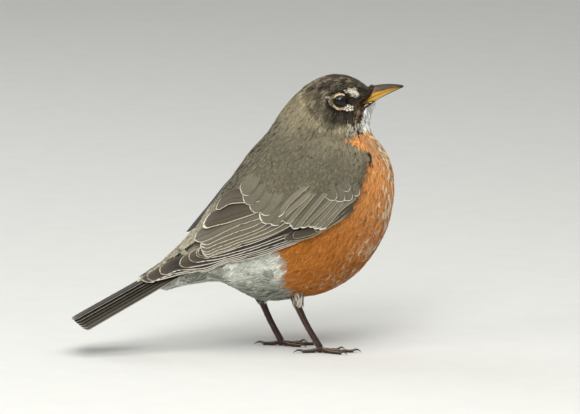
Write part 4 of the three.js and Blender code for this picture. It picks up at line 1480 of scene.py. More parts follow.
EYE_RINGS = 40
EYE_SIDES = 56
IRIS_RAYS = 23
LID_STEPS = 96
LID_SIDES = 10
LID_RADIUS = 0.36
LID_CORNER = 0.5
LID_BEADS = 34


def build_eyeball(side):
    sign = SIDES[side]
    polar, turn = np.meshgrid(
        np.linspace(0.0005, math.pi, EYE_RINGS), np.arange(EYE_SIDES) / EYE_SIDES * TAU, indexing="ij"
    )
    local = np.stack(
        [np.sin(polar) * np.cos(turn), sign * np.cos(polar), np.sin(polar) * np.sin(turn)], axis=-1
    )
    points = np.array(EYE_CENTRE) * (1, sign, 1) + EYE_RADIUS * local
    off_axis = EYE_RADIUS * np.sin(polar) + 10 * (polar > math.pi / 2)
    iris = smooth(off_axis, PUPIL_RADIUS - 0.1, PUPIL_RADIUS + 0.2)
    colours = mix(PUPIL, IRIS, iris)
    rays = 1 + 0.35 * np.sin(turn * IRIS_RAYS + 3 * np.sin(turn * 7))
    colours = colours * np.where(iris > 0.5, rays, 1.0)[..., None]
    colours = mix(colours, PUPIL, smooth(off_axis, IRIS_RADIUS, IRIS_RADIUS + 0.3))
    faces = grid_faces(EYE_RINGS, EYE_SIDES, True)
    shades = colours.reshape(-1, 3)
    eyeball = new_mesh(f"eyeball_{side}", points.reshape(-1, 3), [faces], EYE, "eye", shades)
    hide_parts(f"eye_{side}")


def build_lids(side):
    """The lids' bare margin, which lies on the eyeball round the opening, beaded like real lids
    and with a pointed corner in front and behind."""
    sign = SIDES[side]
    centre = np.array(EYE_CENTRE) * (1, sign, 1)
    steps = np.arange(LID_STEPS) / LID_STEPS * TAU
    around = np.arange(LID_SIDES) / LID_SIDES * TAU
    x = EYE_CENTRE[0] + EYE_OPENING[0] * np.cos(steps)
    z = EYE_CENTRE[2] + EYE_OPENING[1] * np.sin(steps)
    x = x + LID_CORNER * np.sign(np.cos(steps)) * np.abs(np.cos(steps)) ** 9
    y = sign * (lid_depth(x, z) + 0.02)
    ring = np.stack([x, y, z], axis=-1)
    out = unit(ring - centre)
    way = unit(np.roll(ring, -1, axis=0) - np.roll(ring, 1, axis=0))
    wide = unit(np.cross(out, way))
    thick = LID_RADIUS * (1 + 0.16 * np.sin(steps * LID_BEADS))
    rim = (
        ring[:, None]
        + wide[:, None] * (thick[:, None] * 1.3 * np.cos(around))[..., None]
        + out[:, None] * (thick[:, None] * np.sin(around))[..., None]
    )
    index = np.arange(LID_STEPS * LID_SIDES).reshape(LID_STEPS, LID_SIDES)
    after = np.roll(index, -1, axis=0)
    faces = np.stack([index, np.roll(index, -1, axis=1), np.roll(after, -1, axis=1), after], axis=-1)
    shade = np.ones(rim.shape) * LID * (1 + 0.4 * np.sin(steps * LID_BEADS))[:, None, None]
    shade = shade.reshape(-1, 3)
    new_mesh(f"lids_{side}", rim.reshape(-1, 3), [faces.reshape(-1, 4)], LIDS, "head", shade)


for side in SIDES:
    build_eyeball(side)
    build_lids(side)


# ---- small feathers round the eye and the bill --------------------------------------------

FRONT_ROWS = 441  # of the body's grid, from the bill to behind the wing's bend


def beside(x, z, side):
    """(station, angle) of the surface at places in the side view."""
    middle = GRID_ANGLES // 2
    half = slice(0, middle + 1) if side == "left" else slice(middle, GRID_ANGLES)
    grid = BODY_SURFACE.points[:FRONT_ROWS, half]
    flat = grid.reshape(-1, 3)
    nearest = [np.argmin((flat[:, 0] - px) ** 2 + (flat[:, 2] - pz) ** 2) for px, pz in zip(x, z)]
    i, j = np.divmod(nearest, grid.shape[1])
    return BODY_SURFACE.stations[i], np.linspace(0, TAU, GRID_ANGLES)[half][j]


def toned(rows, rng):
    """The rows of small tufts, each made a little lighter or darker."""
    rows = np.array(rows)
    rows[:, 6:9] *= np.exp(rng.normal(0, 0.1, (len(rows), 1)))
    return rows


def small_tufts(name, slot, rows, side, barbs, seed, sink=0.5):
    """Small feathers set one by one. A row holds the root's x and z, the way it points there, its
    length, width and colour, and how far its tip lifts."""
    rng = np.random.default_rng(seed)
    rows = np.array(rows)
    roots, ways, colours = rows[:, 0:2], rows[:, 2:4], rows[:, 6:9]
    lengths, widths, lifts = rows[:, 4], rows[:, 5], rows[:, 9]
    template, faces = barb_template(barbs, looseness=0.12, sweep=0.1, contrast=0.09, rng=rng)
    s, a = beside(roots[:, 0], roots[:, 1], side)
    _, normal, _, _ = BODY_SURFACE.read(s, a)
    aim = np.stack([ways[:, 0], np.zeros(len(ways)), ways[:, 1]], axis=-1)
    aim = unit(aim - dot(aim, normal)[:, None] * normal)
    ds, da = BODY_SURFACE.step(s, a, aim)
    over = unit(np.cross(normal, aim))
    side_s, side_a = BODY_SURFACE.step(s, a, over)
    x, y, lift, tone = template.T
    xs, ys = x[None] * lengths[:, None], y[None] * widths[:, None] / 2
    vs = s[:, None] + xs * ds[:, None] + ys * side_s[:, None]
    va = a[:, None] + xs * da[:, None] + ys * side_a[:, None]
    base, out, _, _ = BODY_SURFACE.read(np.clip(vs, 0, STATIONS), va)
    height = (
        swell(vs, off_back(va))
        - sink * (1 - np.clip(x, 0, 1))[None] ** 1.5
        + lifts[:, None] * np.clip(x, 0, 1.2)[None] ** 1.5
        + lift[None] * 0.05
        + rng.normal(0, 0.05, len(s))[:, None]
    )
    verts = base + out * height[..., None]
    shade = colours[:, None, :] * (tone * (0.8 + 0.2 * smooth(x, 0, 0.4)))[None, :, None]
    offsets = np.arange(len(s))[:, None, None] * len(template)
    return new_mesh(
        name, verts.reshape(-1, 3), [(faces[None] + offsets).reshape(-1, 3)], PLUMAGE, slot,
        shade.reshape(-1, 3), on_map(patch(bake_place(s, a), x, y)),
    )


RING_STEP = 4.0  # degrees from feather to feather
RING_RANKS = 5
RING_UPPER = (54, 183)  # bearings of the two pale arcs, in degrees
RING_LOWER = (187, 334)
RING_FEATHER = (1.25, 0.66)  # length and width
RING_BRIGHTER = 1.35


def lower_or_behind(turn):
    """Where the ring's feathers cover the lid's margin."""
    return 110 < math.degrees(turn) % 360 < 300


def build_eye_ring(side, seed):
    """Cream feathers radiating from the lids, in an upper and a lower arc, broken before and
    behind; the lower arc widest in front, and thinly lined with orange-brown."""
    rng = np.random.default_rng(seed)
    rows = []
    for turn in np.radians(np.arange(0, 360, RING_STEP)):
        for rank in range(RING_RANKS):
            t = turn + rng.normal(0, 0.035) + rank * 0.014
            degrees = math.degrees(t) % 360
            reach = float(ring_reach(t))
            nearest = 0.93 if lower_or_behind(turn) else 0.98
            start = nearest + (reach - 1.22) * rank / (RING_RANKS - 1)
            root = (
                EYE_CENTRE[0] + EYE_OPENING[0] * start * math.cos(t),
                EYE_CENTRE[2] + EYE_OPENING[1] * start * math.sin(t),
            )
            # Each feather leans back as it leaves the lid.
            way = (math.cos(t) - 0.5 * abs(math.sin(t)), math.sin(t))
            upper = RING_UPPER[0] < degrees < RING_UPPER[1]
            lower = RING_LOWER[0] < degrees < RING_LOWER[1]
            pale = upper or lower
            in_front = smooth(degrees, 272, 300) * lower
            outermost = rank == RING_RANKS - 1
            colour = CREAM if pale else LORES * 0.8
            if pale and rank == 0:
                colour = mix(CREAM, RUFOUS, rng.choice((0.0, 0.3, 0.6)))
            if lower and outermost:
                colour = mix(CREAM, RUFOUS_DEEP, rng.choice((0.0, 0.4, 0.8)) * (1 - 0.6 * in_front))
            colour = mix(colour, WHITE, 0.4 * in_front)
            length = RING_FEATHER[0] * rng.uniform(0.85, 1.15)
            if pale:
                colour = colour * RING_BRIGHTER
            rows.append((*root, *way, length, RING_FEATHER[1], *colour, 0.5))
    # A dark line just outside each arc.
    for turn in np.radians(np.arange(40, 335, 3.0)):
        for rank in range(2):
            t = turn + rng.normal(0, 0.02)
            reach = float(ring_reach(t)) + 0.1 + 0.06 * rank
            root = (
                EYE_CENTRE[0] + EYE_OPENING[0] * reach * math.cos(t),
                EYE_CENTRE[2] + EYE_OPENING[1] * reach * math.sin(t),
            )
            way = (-0.9 - 0.3 * abs(math.cos(t)), 0.55 * math.sin(t) * -math.cos(t))
            rows.append((*root, *way, 1.1, 0.26, *(CHEEK * 0.9), 0.3))
    small_tufts(f"eye_ring_{side}", "head", toned(rows, rng), side, 3, seed, sink=0.1)


WING_BEND = ((37.9, 122.4), (39.7, 119.8), (39.4, 117.0), (38.8, 114.6))
WING_FRONT_EDGE = (
    (39.2, 115.0), (36.2, 108.7), (34.2, 101.7), (33.6, 95.7), (30.4, 89.6), (26.5, 85.0),
)
BEND_SHADOW_TUFTS = 110
EDGE_TUFTS = 230


def build_shoulder_tufts(side, seed):
    """Black tufts painted as the shadow in the gap in front of the wing's bend, and rufous barbs that
    stray over its edge.
    """
    rng = np.random.default_rng(seed)
    rows = []
    # Painted shadow: near-black tufts in the gap before the wing's bend.
    for _ in range(BEND_SHADOW_TUFTS):
        q = rng.random() * (len(WING_BEND) - 1)
        x, z = through(WING_BEND, q)
        x, z = x + rng.normal(-0.5, 0.5) * (1.3 - 0.25 * q), z + rng.normal(0.4, 0.5)
        tone = mix(BLACK, MANTLE * 0.6, rng.uniform(0, 0.5))
        rows.append((x, z, -0.15, -1.0, 1.9, 0.35, *tone, 0.2))
    for _ in range(EDGE_TUFTS):
        q = rng.random() * (len(WING_FRONT_EDGE) - 1)
        x, z = through(WING_FRONT_EDGE, q)
        x, z = x + abs(rng.normal(0, 0.7)) + 0.2, z + rng.normal(0, 0.7)
        way = np.array([-1.0, 0.1]) + rng.normal(0, 0.35, 2) + (0.25 * (q < 2), -0.5 * (q < 2))
        tone = RUFOUS * rng.uniform(0.6, 1.15)
        rows.append((x, z, *way, rng.uniform(2.2, 4.4), rng.uniform(0.25, 0.45), *tone, 0.5))
    small_tufts(f"shoulder_tufts_{side}", "breast", rows, side, 3, seed)


WHITES = (WHITE, WHITE, CREAM)
FACE_MARKS = (
    # from and to in the side view, how many, half-width, way, length, width, colours, lift
    # White over the lores.
    ((29.2, 156.9), (34.6, 155.0), 70, 0.55, (-1, 0.35), 1.8, 0.5, WHITES, 0.5),
    ((30.4, 154.9), (34.0, 154.1), 34, 0.4, (-1, 0.15), 1.4, 0.45, WHITES, 0.5),
    ((29.0, 157.2), (34.0, 157.4), 18, 0.3, (-1, 0.75), 2.4, 0.35, (CREAM, CREAM * 0.7), 0.45),
    ((26.6, 157.4), (28.6, 157.0), 12, 0.25, (-1, 0.1), 2.0, 0.4, (CREAM, WHITE), 0.4),
    # A pale streak behind the eye.
    ((18.6, 154.1), (15.0, 153.9), 22, 0.1, (-1, -0.08), 2.2, 0.26, (CREAM, WHITE), 0.35),
    # The lores.
    ((34.6, 153.0), (29.8, 151.0), 70, 1.3, (-1, -0.1), 1.5, 0.6, (CHEEK, LORES), 0.3),
    ((36.4, 150.6), (31.6, 148.6), 40, 0.9, (-1, -0.25), 1.5, 0.5,
     (LORES, GAPE_GOLD * 0.4, LORES * 1.6), 0.3),
    # The gape's corner.
    ((37.6, 149.0), (34.4, 147.2), 46, 0.6, (-1, -0.5), 1.8, 0.35,
     (GAPE_GOLD * 0.6, GAPE_GOLD, RUFOUS_DEEP * 0.6, LORES), 0.4),
    # The dark line down from it, with rusty hairs.
    ((35.6, 148.0), (31.2, 141.0), 60, 0.75, (-0.5, -1), 2.4, 0.5,
     (BLACK, LORES, CHEEK, RUFOUS_DEEP * 0.45, CREAM * 0.55), 0.35),
    ((34.6, 147.2), (32.6, 142.0), 9, 0.25, (-0.3, -1), 2.6, 0.4,
     (RUFOUS_DEEP * 0.5, RUFOUS * 0.5), 0.5),
    # Under the bill's root.
    ((38.0, 147.6), (44.5, 150.0), 40, 0.5, (-0.9, -0.7), 1.8, 0.45,
     (CREAM, WHITE, BLACK, CHEEK, BILL_BROWN), 0.3),
    # The throat's edge.
    ((37.5, 145.5), (34.6, 136.0), 90, 0.7, (-0.25, -1), 3.0, 0.38,
     (WHITE, WHITE, LORES, WHITE * 0.9), 0.35),
    # White and black streaks under the cheek.
    ((36.0, 138.0), (26.0, 134.6), 230, 1.7, (-0.5, -1), 2.6, 0.3,
     (WHITE * 0.9, BLACK, BLACK, CREAM * 0.8, CHEEK), 0.35),
    # The cheek.
    ((31.0, 145.0), (18.0, 141.0), 30, 2.6, (-0.8, -0.8), 2.4, 0.35,
     (CHEEK_EDGE, CHEEK, BLACK), 0.35),
)
MARK_STRAY = 0.25
MARK_TURN = 0.12


def build_face_tufts(side, seed):
    """The marks that small feathers draw on the face."""
    rng = np.random.default_rng(seed)
    rows = []
    for start, end, count, half, way, length, width, colours, lift in FACE_MARKS:
        for _ in range(count):
            q = rng.random()
            x = start[0] + (end[0] - start[0]) * q
            z = start[1] + (end[1] - start[1]) * q + rng.normal(0, half)
            long = length * rng.uniform(0.8, 1.2)
            colour = colours[rng.integers(len(colours))]
            stray = rng.normal(0, MARK_STRAY, 2)
            aim = np.array(way) + rng.normal(0, MARK_TURN, 2)
            rows.append((x + stray[0], z + stray[1], *aim, long, width, *colour, lift))
    small_tufts(f"face_tufts_{side}", "head", toned(rows, rng), side, 4, seed)


for number, side in enumerate(SIDES):
    build_eye_ring(side, 120 + number)
    build_face_tufts(side, 130 + number)
    build_shoulder_tufts(side, 160 + number)


# ---- the bill -----------------------------------------------------------------------------

GAPE = (36.3, 148.8)
BILL_TIP = (62.4, 158.0)
BILL_BOW = 1.2
BILL_HALF_WIDTH = 3.5
BILL_WIDE_END = 0.4  # share of the bill's length where it begins to narrow to the tip
BILL_LEAST_DEPTH = 0.35
BILL_RINGS = 72
BILL_ARCH = 36  # points across each half
NOSTRIL_AT = 0.27  # share of the length
NOSTRIL_TURNS = (0.62, math.pi - 0.62)
GAPE_HALF_WIDTH = 5.6
BILL_TAPER = 2.2
BILL_RAKE = 0.35
BILL_SLIT = 0.15
UPPER_BILL = dict(root=1.2, depth=5.8, deepest=0.3, fall=0.72, reach=1.02)
LOWER_BILL = dict(root=1.0, depth=3.3, deepest=0.25, fall=0.85, reach=1.03)
CULMEN = paint(54, 45, 35)
CULMEN_PALE = paint(94, 80, 60)
BILL_GOLD = paint(190, 144, 46)
BILL_HIGHLIGHT = paint(218, 186, 112)
BILL_BLACK = paint(24, 21, 19)
HORN = material("Horn", roughness=0.42, bump=0.35, bump_size=0.9, tint=0.1, gloss=0.28)


def bill_half(upward, form):
    """Rings of one half of the bill, with the rings' shares and the arch's angles."""
    share, angle = np.meshgrid(
        np.linspace(0, 1, BILL_RINGS), np.linspace(0, math.pi, BILL_ARCH), indexing="ij"
    )
    ahead = np.clip((share - BILL_WIDE_END) / (1.02 - BILL_WIDE_END), 0, 1)
    wide = np.where(
        share < BILL_WIDE_END,
        mix(GAPE_HALF_WIDTH, BILL_HALF_WIDTH, np.sin(np.clip(share / BILL_WIDE_END, 0, 1) * math.pi / 2)),
        BILL_HALF_WIDTH * np.sqrt(1 - ahead**BILL_TAPER),
    )
    left = np.clip(1 - (share - form["deepest"]) / (form["reach"] - form["deepest"]), 0, 1)
    depth = np.where(
        share < form["deepest"],
        mix(form["root"], form["depth"], smooth(share, 0, form["deepest"])),
        form["depth"] * left ** form["fall"],
    )
    depth = np.maximum(depth, BILL_LEAST_DEPTH)
    arch = np.sin(angle) ** 0.85
    if upward > 0:
        # A nostril sits in a long hollow on each side, under the culmen.
        for turn in NOSTRIL_TURNS:
            back = share - NOSTRIL_AT
            hollow = np.exp(-(back / 0.1) ** 2 - ((angle - turn) / 0.28) ** 2)
            slot = np.exp(-(back / 0.045) ** 4 - ((angle - turn + 0.03) / 0.12) ** 2)
            wide = wide * (1 - 0.07 * hollow - 0.16 * slot)
    # The cutting edge stands out a little.
    edge = np.exp(-((1 - np.abs(np.cos(angle))) / 0.02))
    wide = wide * (1 + 0.05 * edge * smooth(share, 0.25, 0.5))
    up = upward * (BILL_SLIT + depth * arch)
    x = mix(GAPE[0], BILL_TIP[0], share) - BILL_RAKE * up
    z = mix(GAPE[1], BILL_TIP[1], share) + BILL_BOW * np.sin(math.pi * share) + up
    return np.stack([x, wide * np.cos(angle), z], axis=-1), share, angle


def build_upper_bill():
    points, share, angle = bill_half(1, UPPER_BILL)
    arch = np.sin(angle)
    streaky = noise(points * (0.35, 1, 1), 1.1, 21)
    # Paler toward the culmen's top: partly the horn's streaks, partly a painted highlight.
    grey = mix(CULMEN, CULMEN_PALE, smooth(streaky + arch * 0.8 - 0.3, 0.0, 1.0))
    gold_edge = np.interp(share, (0, 0.25, 0.5, 0.8, 1.0), (0.5, 0.28, 0.16, 0.06, 0.0))
    colours = mix(BILL_GOLD, grey, smooth(arch + 0.08 * streaky, gold_edge, gold_edge + 0.16))
    line = np.exp(-(((arch - gold_edge - 0.06) / 0.07) ** 2)) * smooth(share, 0.3, 0.5)
    colours = mix(colours, BILL_BROWN, line * 0.8)
    base = (1 - smooth(share, 0.08, 0.32)) * smooth(arch, 0.3, 0.6)
    colours = mix(colours, BILL_BROWN * 0.7, base)
    colours = mix(colours, BILL_BLACK * 2.0, smooth(share, 0.78, 0.97) * 0.85)
    for turn in NOSTRIL_TURNS:
        slot = np.exp(-((share - NOSTRIL_AT) / 0.05) ** 4 - ((angle - turn + 0.03) / 0.13) ** 2)
        colours = mix(colours, BILL_BLACK, slot * 0.9)
    piece = closed_tube("bill_upper_horn", "bill", HORN, points, colours)
    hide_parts("bill_upper")


def build_lower_bill():
    points, share, angle = bill_half(-1, LOWER_BILL)
    arch = np.sin(angle)
    streaky = noise(points * (0.35, 1, 1), 1.1, 22)
    # A painted highlight along the lower mandible's side.
    painted_highlight = np.exp(-(((arch - 0.5) / 0.3) ** 2)) * smooth(share, 0.2, 0.45)
    colours = mix(BILL_GOLD, BILL_HIGHLIGHT, painted_highlight * 0.8)
    near_root = smooth(streaky + (0.3 - share) * 3, 0.1, 0.6)
    colours = mix(colours, BILL_BROWN, near_root * 0.45)
    colours = mix(colours, BILL_BROWN, smooth(arch + 0.1 * streaky, 0.86, 1.0) * 0.6)
    dark = smooth(share + 0.75 * (arch - 0.4) + 0.03 * streaky, 0.6, 0.72)
    colours = mix(colours, BILL_BLACK, dark)
    colours = mix(colours, BILL_BLACK, smooth(share, 0.86, 0.96))
    piece = closed_tube("bill_lower_horn", "bill", HORN, points, colours)
    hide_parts("bill_lower")


build_upper_bill()
build_lower_bill()


# How far forward over the upper bill its feathers reach: angles of the arch, and shares.
BRISTLE_TURNS = (0.12, 0.4, 0.7, 1.0, 1.3, 1.57)
BRISTLE_FRONTS = (0.06, 0.20, 0.33, 0.40, 0.36, 0.30)
BRISTLE_TONES = (BLACK, BLACK, LORES, LORES, RUST * 0.6, RUST * 0.8)
GAPE_TONES = (GAPE_GOLD * 0.8, GAPE_GOLD * 0.45, RUFOUS_DEEP * 0.5, LORES)
GAPE_TURN = 0.5  # angle of the arch below which the gape's own colours show
BRISTLE_WIDTHS = (0.5, 1.0, 0.7, 0.0)  # at four places along each
SHORT_BRISTLES = 260
LONG_BRISTLES = 60


def bristle_rows(rng):
    """Where each bristle starts along the bill, its angle on the arch, its length and width."""
    rows = []
    for _ in range(SHORT_BRISTLES):
        turn = rng.uniform(0.12, 1.57)
        front = np.interp(turn, BRISTLE_TURNS, BRISTLE_FRONTS)
        length = rng.uniform(1.4, 3.0)
        rows.append((front - length / 26 - abs(rng.normal(0, 0.05)) + 0.02, turn, length, 0.33))
    for _ in range(LONG_BRISTLES):
        turn = rng.uniform(0.2, 1.3)
        front = np.interp(turn, BRISTLE_TURNS, BRISTLE_FRONTS)
        length = rng.uniform(2.6, 4.4)
        rows.append((front - 0.05 - length / 40, turn, length, 0.15))
    return rows


def build_bristles(side, seed):
    """Dark and rusty feathers that lie forward over the bill's root and nostril, ending in fine
    bristles, and golden ones at the gape."""
    rng = np.random.default_rng(seed)
    sign = SIDES[side]
    upper, _, _ = bill_half(1, UPPER_BILL)
    verts, faces, shades, places = [], [], [], []
    for u, turn, length, width in bristle_rows(rng):
        j = int(np.clip(turn / math.pi * (BILL_ARCH - 1), 0, BILL_ARCH - 1))
        i = int(np.clip(u, 0, 1) * (BILL_RINGS - 1))
        root = upper[i, j] * (1, np.sign(upper[i, j][1]) * sign, 1)
        out = unit(np.array([0.1, math.cos(turn) * sign, math.sin(turn)]))
        way = unit(np.array([1.0, 0.0, 0.36]) + rng.normal(0, 0.12, 3) + 0.18 * out)
        root = root + out * rng.uniform(-0.15, 0.2) + way * min(u, 0) * 20
        over = unit(np.cross(out, way))
        first = len(verts)
        rises = (0.0, 0.3, 0.4, 0.45 if width > 0.3 else 1.1)
        for k, wide in enumerate(BRISTLE_WIDTHS):
            along = root + way * length * k / 3 + out * rises[k] * 0.55
            verts.extend(along + over * width * wide * edge for edge in (-1, 1))
        faces.extend((a, a + 1, a + 3, a + 2) for a in range(first, first + 6, 2))
        colour = BRISTLE_TONES[rng.integers(len(BRISTLE_TONES))]
        if turn < GAPE_TURN:
            colour = GAPE_TONES[rng.integers(len(GAPE_TONES))]
        shades.extend([colour * math.exp(rng.normal(0, 0.15))] * 8)
        spot = bake_place(0.2, math.radians(90) * sign) + rng.uniform(-0.02, 0.02, 2)
        places.append(patch(spot, np.repeat(np.arange(4) / 3, 2), np.tile((-1, 1), 4)))
    new_mesh(f"bristles_{side}", np.array(verts), [np.array(faces)], PLUMAGE, "head",
             np.array(shades), on_map(np.concatenate(places)))


for number, side in enumerate(SIDES):
    build_bristles(side, 140 + number)


# ---- legs and feet ------------------------------------------------------------------------

HOCK = {"left": (-23.6, 13.0, 34.3), "right": (-5.5, -13.0, 33.7)}
FOOT = {"left": (-9.7, 14.0, 3.0), "right": (10.0, -14.0, 3.0)}
FOOT_HEADING = {"left": -8, "right": 6}  # degrees out from straight ahead
TARSUS_RADII = (2.1, 1.8, 1.75, 1.9)
TARSUS_NARROW = 0.7
TARSUS_BOW = 1.0
SHANK_TOP_RADIUS = 2.2
SHANK_REACH = 1.12  # from the foot, by the way to the hock
SHANK_PLATES = 7.5
TOE_REST = 0.93  # a toe's middle over the floor, by its radius
PLATES_TO_JOINT = 4
BALL_RADII = (2.1, 1.9, 2.0)
BALL_HEIGHT = 1.9
TOES = (
    # name, bearing, length, claw, radius, joints
    ("hind", 172, 10.5, 6.2, 1.15, 2),
    ("inner", -30, 13.5, 4.6, 1.0, 3),
    ("middle", 2, 20.0, 5.0, 1.1, 4),
    ("outer", 32, 14.5, 4.6, 1.0, 5),
)
LEG = paint(48, 34, 32)
LEG_DARK = paint(30, 20, 20)
LEG_RED = paint(88, 56, 43)
LEG_PALE = paint(160, 138, 130)
PAD = paint(120, 104, 84)
SCALES = material("Scales", roughness=0.45, bump=0.5, bump_size=0.5, tint=0.12, gloss=0.3)
CLAW = material("Claw", roughness=0.3, bump=0.3, bump_size=0.5, tint=0.15, gloss=0.5)


def between_plates(share, count, half):
    """1 on the lines between a row of plates, falling to 0 at about `half` of a plate."""
    plate = (share * count) % 1.0
    return np.exp(-((np.minimum(plate, 1 - plate) / half) ** 2))


def shank_form(share, angle):
    """Overlapping plates in front, a groove on each side and a ridge behind."""
    plate = (share * SHANK_PLATES) % 1.0
    behind = np.abs(angle - math.pi)
    step = 0.05 * (plate - 0.5) * smooth(np.cos(angle), 0.0, 0.5)
    groove = -0.05 * np.exp(-(((behind - 1.9) / 0.16) ** 2))
    ridge = 0.10 * np.exp(-((behind / 0.5) ** 2))
    return 1 + step + groove + ridge


def build_shank(side):
    hock, foot = np.array(HOCK[side]), np.array(FOOT[side])
    top = foot + (hock - foot) * SHANK_REACH
    middle = foot + (hock - foot) * 0.5 + (-TARSUS_BOW, 0, 0)
    points, share, angle = tube(
        (top, middle, foot), (SHANK_TOP_RADIUS, *TARSUS_RADII),
        sides=36, rings=110, across=TARSUS_NARROW, form=shank_form,
    )
    joint = between_plates(share, SHANK_PLATES, 0.035) * smooth(np.cos(angle), 0.0, 0.5)
    mottled = noise(points, 1.6, 31)
    around = np.degrees(np.minimum(angle, TAU - angle))  # from the front

    def stripe(middle, half):
        return np.exp(-(((around - middle) / half) ** 2))

    # The pale stripe near the front is a painted highlight.
    colours = mix(LEG, LEG_PALE, 0.5 * stripe(28, 14) + 0.1 * mottled)
    colours = mix(colours, LEG_RED, 0.8 * stripe(78, 11))
    colours = mix(colours, LEG_DARK, 0.8 * stripe(56, 8))
    colours = mix(colours, LEG_DARK, smooth(around, 92, 118) * 0.75)
    colours = mix(colours, LEG_RED * 0.8, 0.6 * stripe(135, 9))
    colours = mix(colours, LEG_DARK, joint * 0.8)
    piece = closed_tube(f"shank_{side}", "leg", SCALES, points, colours)
    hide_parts(f"tarsus_{side}")


def on_floor(points):
    return np.stack([points[..., 0], points[..., 1], np.maximum(points[..., 2], 0.0)], axis=-1)


def toe_skin(at, length, radius, joints):
    """A toe's rings and colours: swollen joints, plates above and pads beneath."""
    plates = joints * PLATES_TO_JOINT

    def form(share, angle):
        phase = share * joints
        joint = 0.10 * np.cos((phase - np.round(phase)) * TAU)
        under = smooth(-np.cos(angle), 0.1, 0.9)
        rings = 0.03 * ((share * joints * PLATES_TO_JOINT) % 1.0 - 0.5) * smooth(np.cos(angle), 0.0, 0.6)
        return 1 + joint * (0.35 + under) + rings

    rest = radius * TOE_REST
    path = (at(0, 2.6), at(length * 0.25, rest + 0.5), at(length * 0.55, rest), at(length, rest))
    radii = (radius * 1.25, radius * 1.15, radius, radius, radius * 0.82)
    points, share, angle = tube(path, radii, sides=24, rings=72, form=form)
    lines = between_plates(share, plates, 0.09) * smooth(np.cos(angle), -0.2, 0.4)
    colours = mix(LEG, LEG_PALE, smooth(np.cos(angle), 0.3, 1) * 0.3)
    colours = mix(colours, PAD, smooth(-np.cos(angle), 0.5, 0.9))
    return on_floor(points), mix(colours, LEG_DARK, lines * 0.75)


def build_claw(side, name, at, length, claw, radius):
    rest = radius * TOE_REST
    path = (
        at(length - 0.8, rest + 0.1),
        at(length + claw * 0.35, rest + 0.9),
        at(length + claw * 0.75, rest + 0.2),
        at(length + claw * 0.97, 0.2),
    )
    radii = (radius * 0.74, radius * 0.62, radius * 0.34, 0.08)
    points, share, _ = tube(path, radii, sides=18, rings=30)
    near_root = (1 - smooth(share, 0.1, 0.5)) * 0.5
    colours = mix(BILL_BLACK * 1.4, LEG_PALE * 0.6, near_root)
    piece = closed_tube(f"nail_{side}_{name}", "claw", CLAW, on_floor(points), colours)
    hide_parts(f"claw_{side}_{name}")


def build_foot(side):
    """The ball of the foot, and the toes, as one mesh, and each claw."""
    foot = np.array(FOOT[side])
    rows, columns = 20, 24
    polar, turn = np.meshgrid(
        np.linspace(0.001, math.pi, rows), np.arange(columns) / columns * TAU, indexing="ij"
    )
    ball = np.stack([np.sin(polar) * np.cos(turn), np.sin(polar) * np.sin(turn), np.cos(polar)], axis=-1)
    ball = on_floor(ball * BALL_RADII + (foot[0], foot[1], BALL_HEIGHT))
    meshes = [(ball, np.ones(ball.shape) * LEG)]
    for name, bearing, length, claw, radius, joints in TOES:
        heading = math.radians((FOOT_HEADING[side] + bearing) * SIDES[side])

        def at(distance, height, heading=heading):
            return np.array([
                foot[0] + math.cos(heading) * distance, foot[1] + math.sin(heading) * distance, height
            ])

        meshes.append(toe_skin(at, length, radius, joints))
        build_claw(side, name, at, length, claw, radius)
    verts, faces, shades, first = [], [], [], 0
    for points, colours in meshes:
        rings, sides = points.shape[:2]
        verts.append(points.reshape(-1, 3))
        faces.append(grid_faces(rings, sides, True) + first)
        shades.append(colours.reshape(-1, 3))
        first += rings * sides
    piece = new_mesh(f"toes_{side}", np.concatenate(verts), [np.concatenate(faces)], SCALES, "leg",
                     np.concatenate(shades))
    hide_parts(f"foot_{side}")


for side in SIDES:
    build_shank(side)
    build_foot(side)


THIGH_TOP = {"left": (-27.5, 11.5, 44.0), "right": (-3.5, -12.5, 45.0)}
THIGH_LOWEST = {"left": 27.5, "right": 29.0}
THIGH_RADII = {"left": (5.8, 3.4), "right": (5.6, 2.9)}
THIGH_FEATHERS = 340
THIGH_VARIANTS = 6
THIGH_PLACE = (13.5, 120)  # on the coat's bake map: station, and degrees from the back line
# The far (left) thigh's tones are the vent's grey-olive: painted shade under the body.
THIGH_TONES = {
    "left": (VENT_SHADE, VENT_SHADE * 1.3, BELLY * 0.8, VENT_SHADE * 0.8),
    "right": (paint(170, 160, 146), paint(120, 108, 90), paint(84, 74, 60), paint(196, 190, 178)),
}


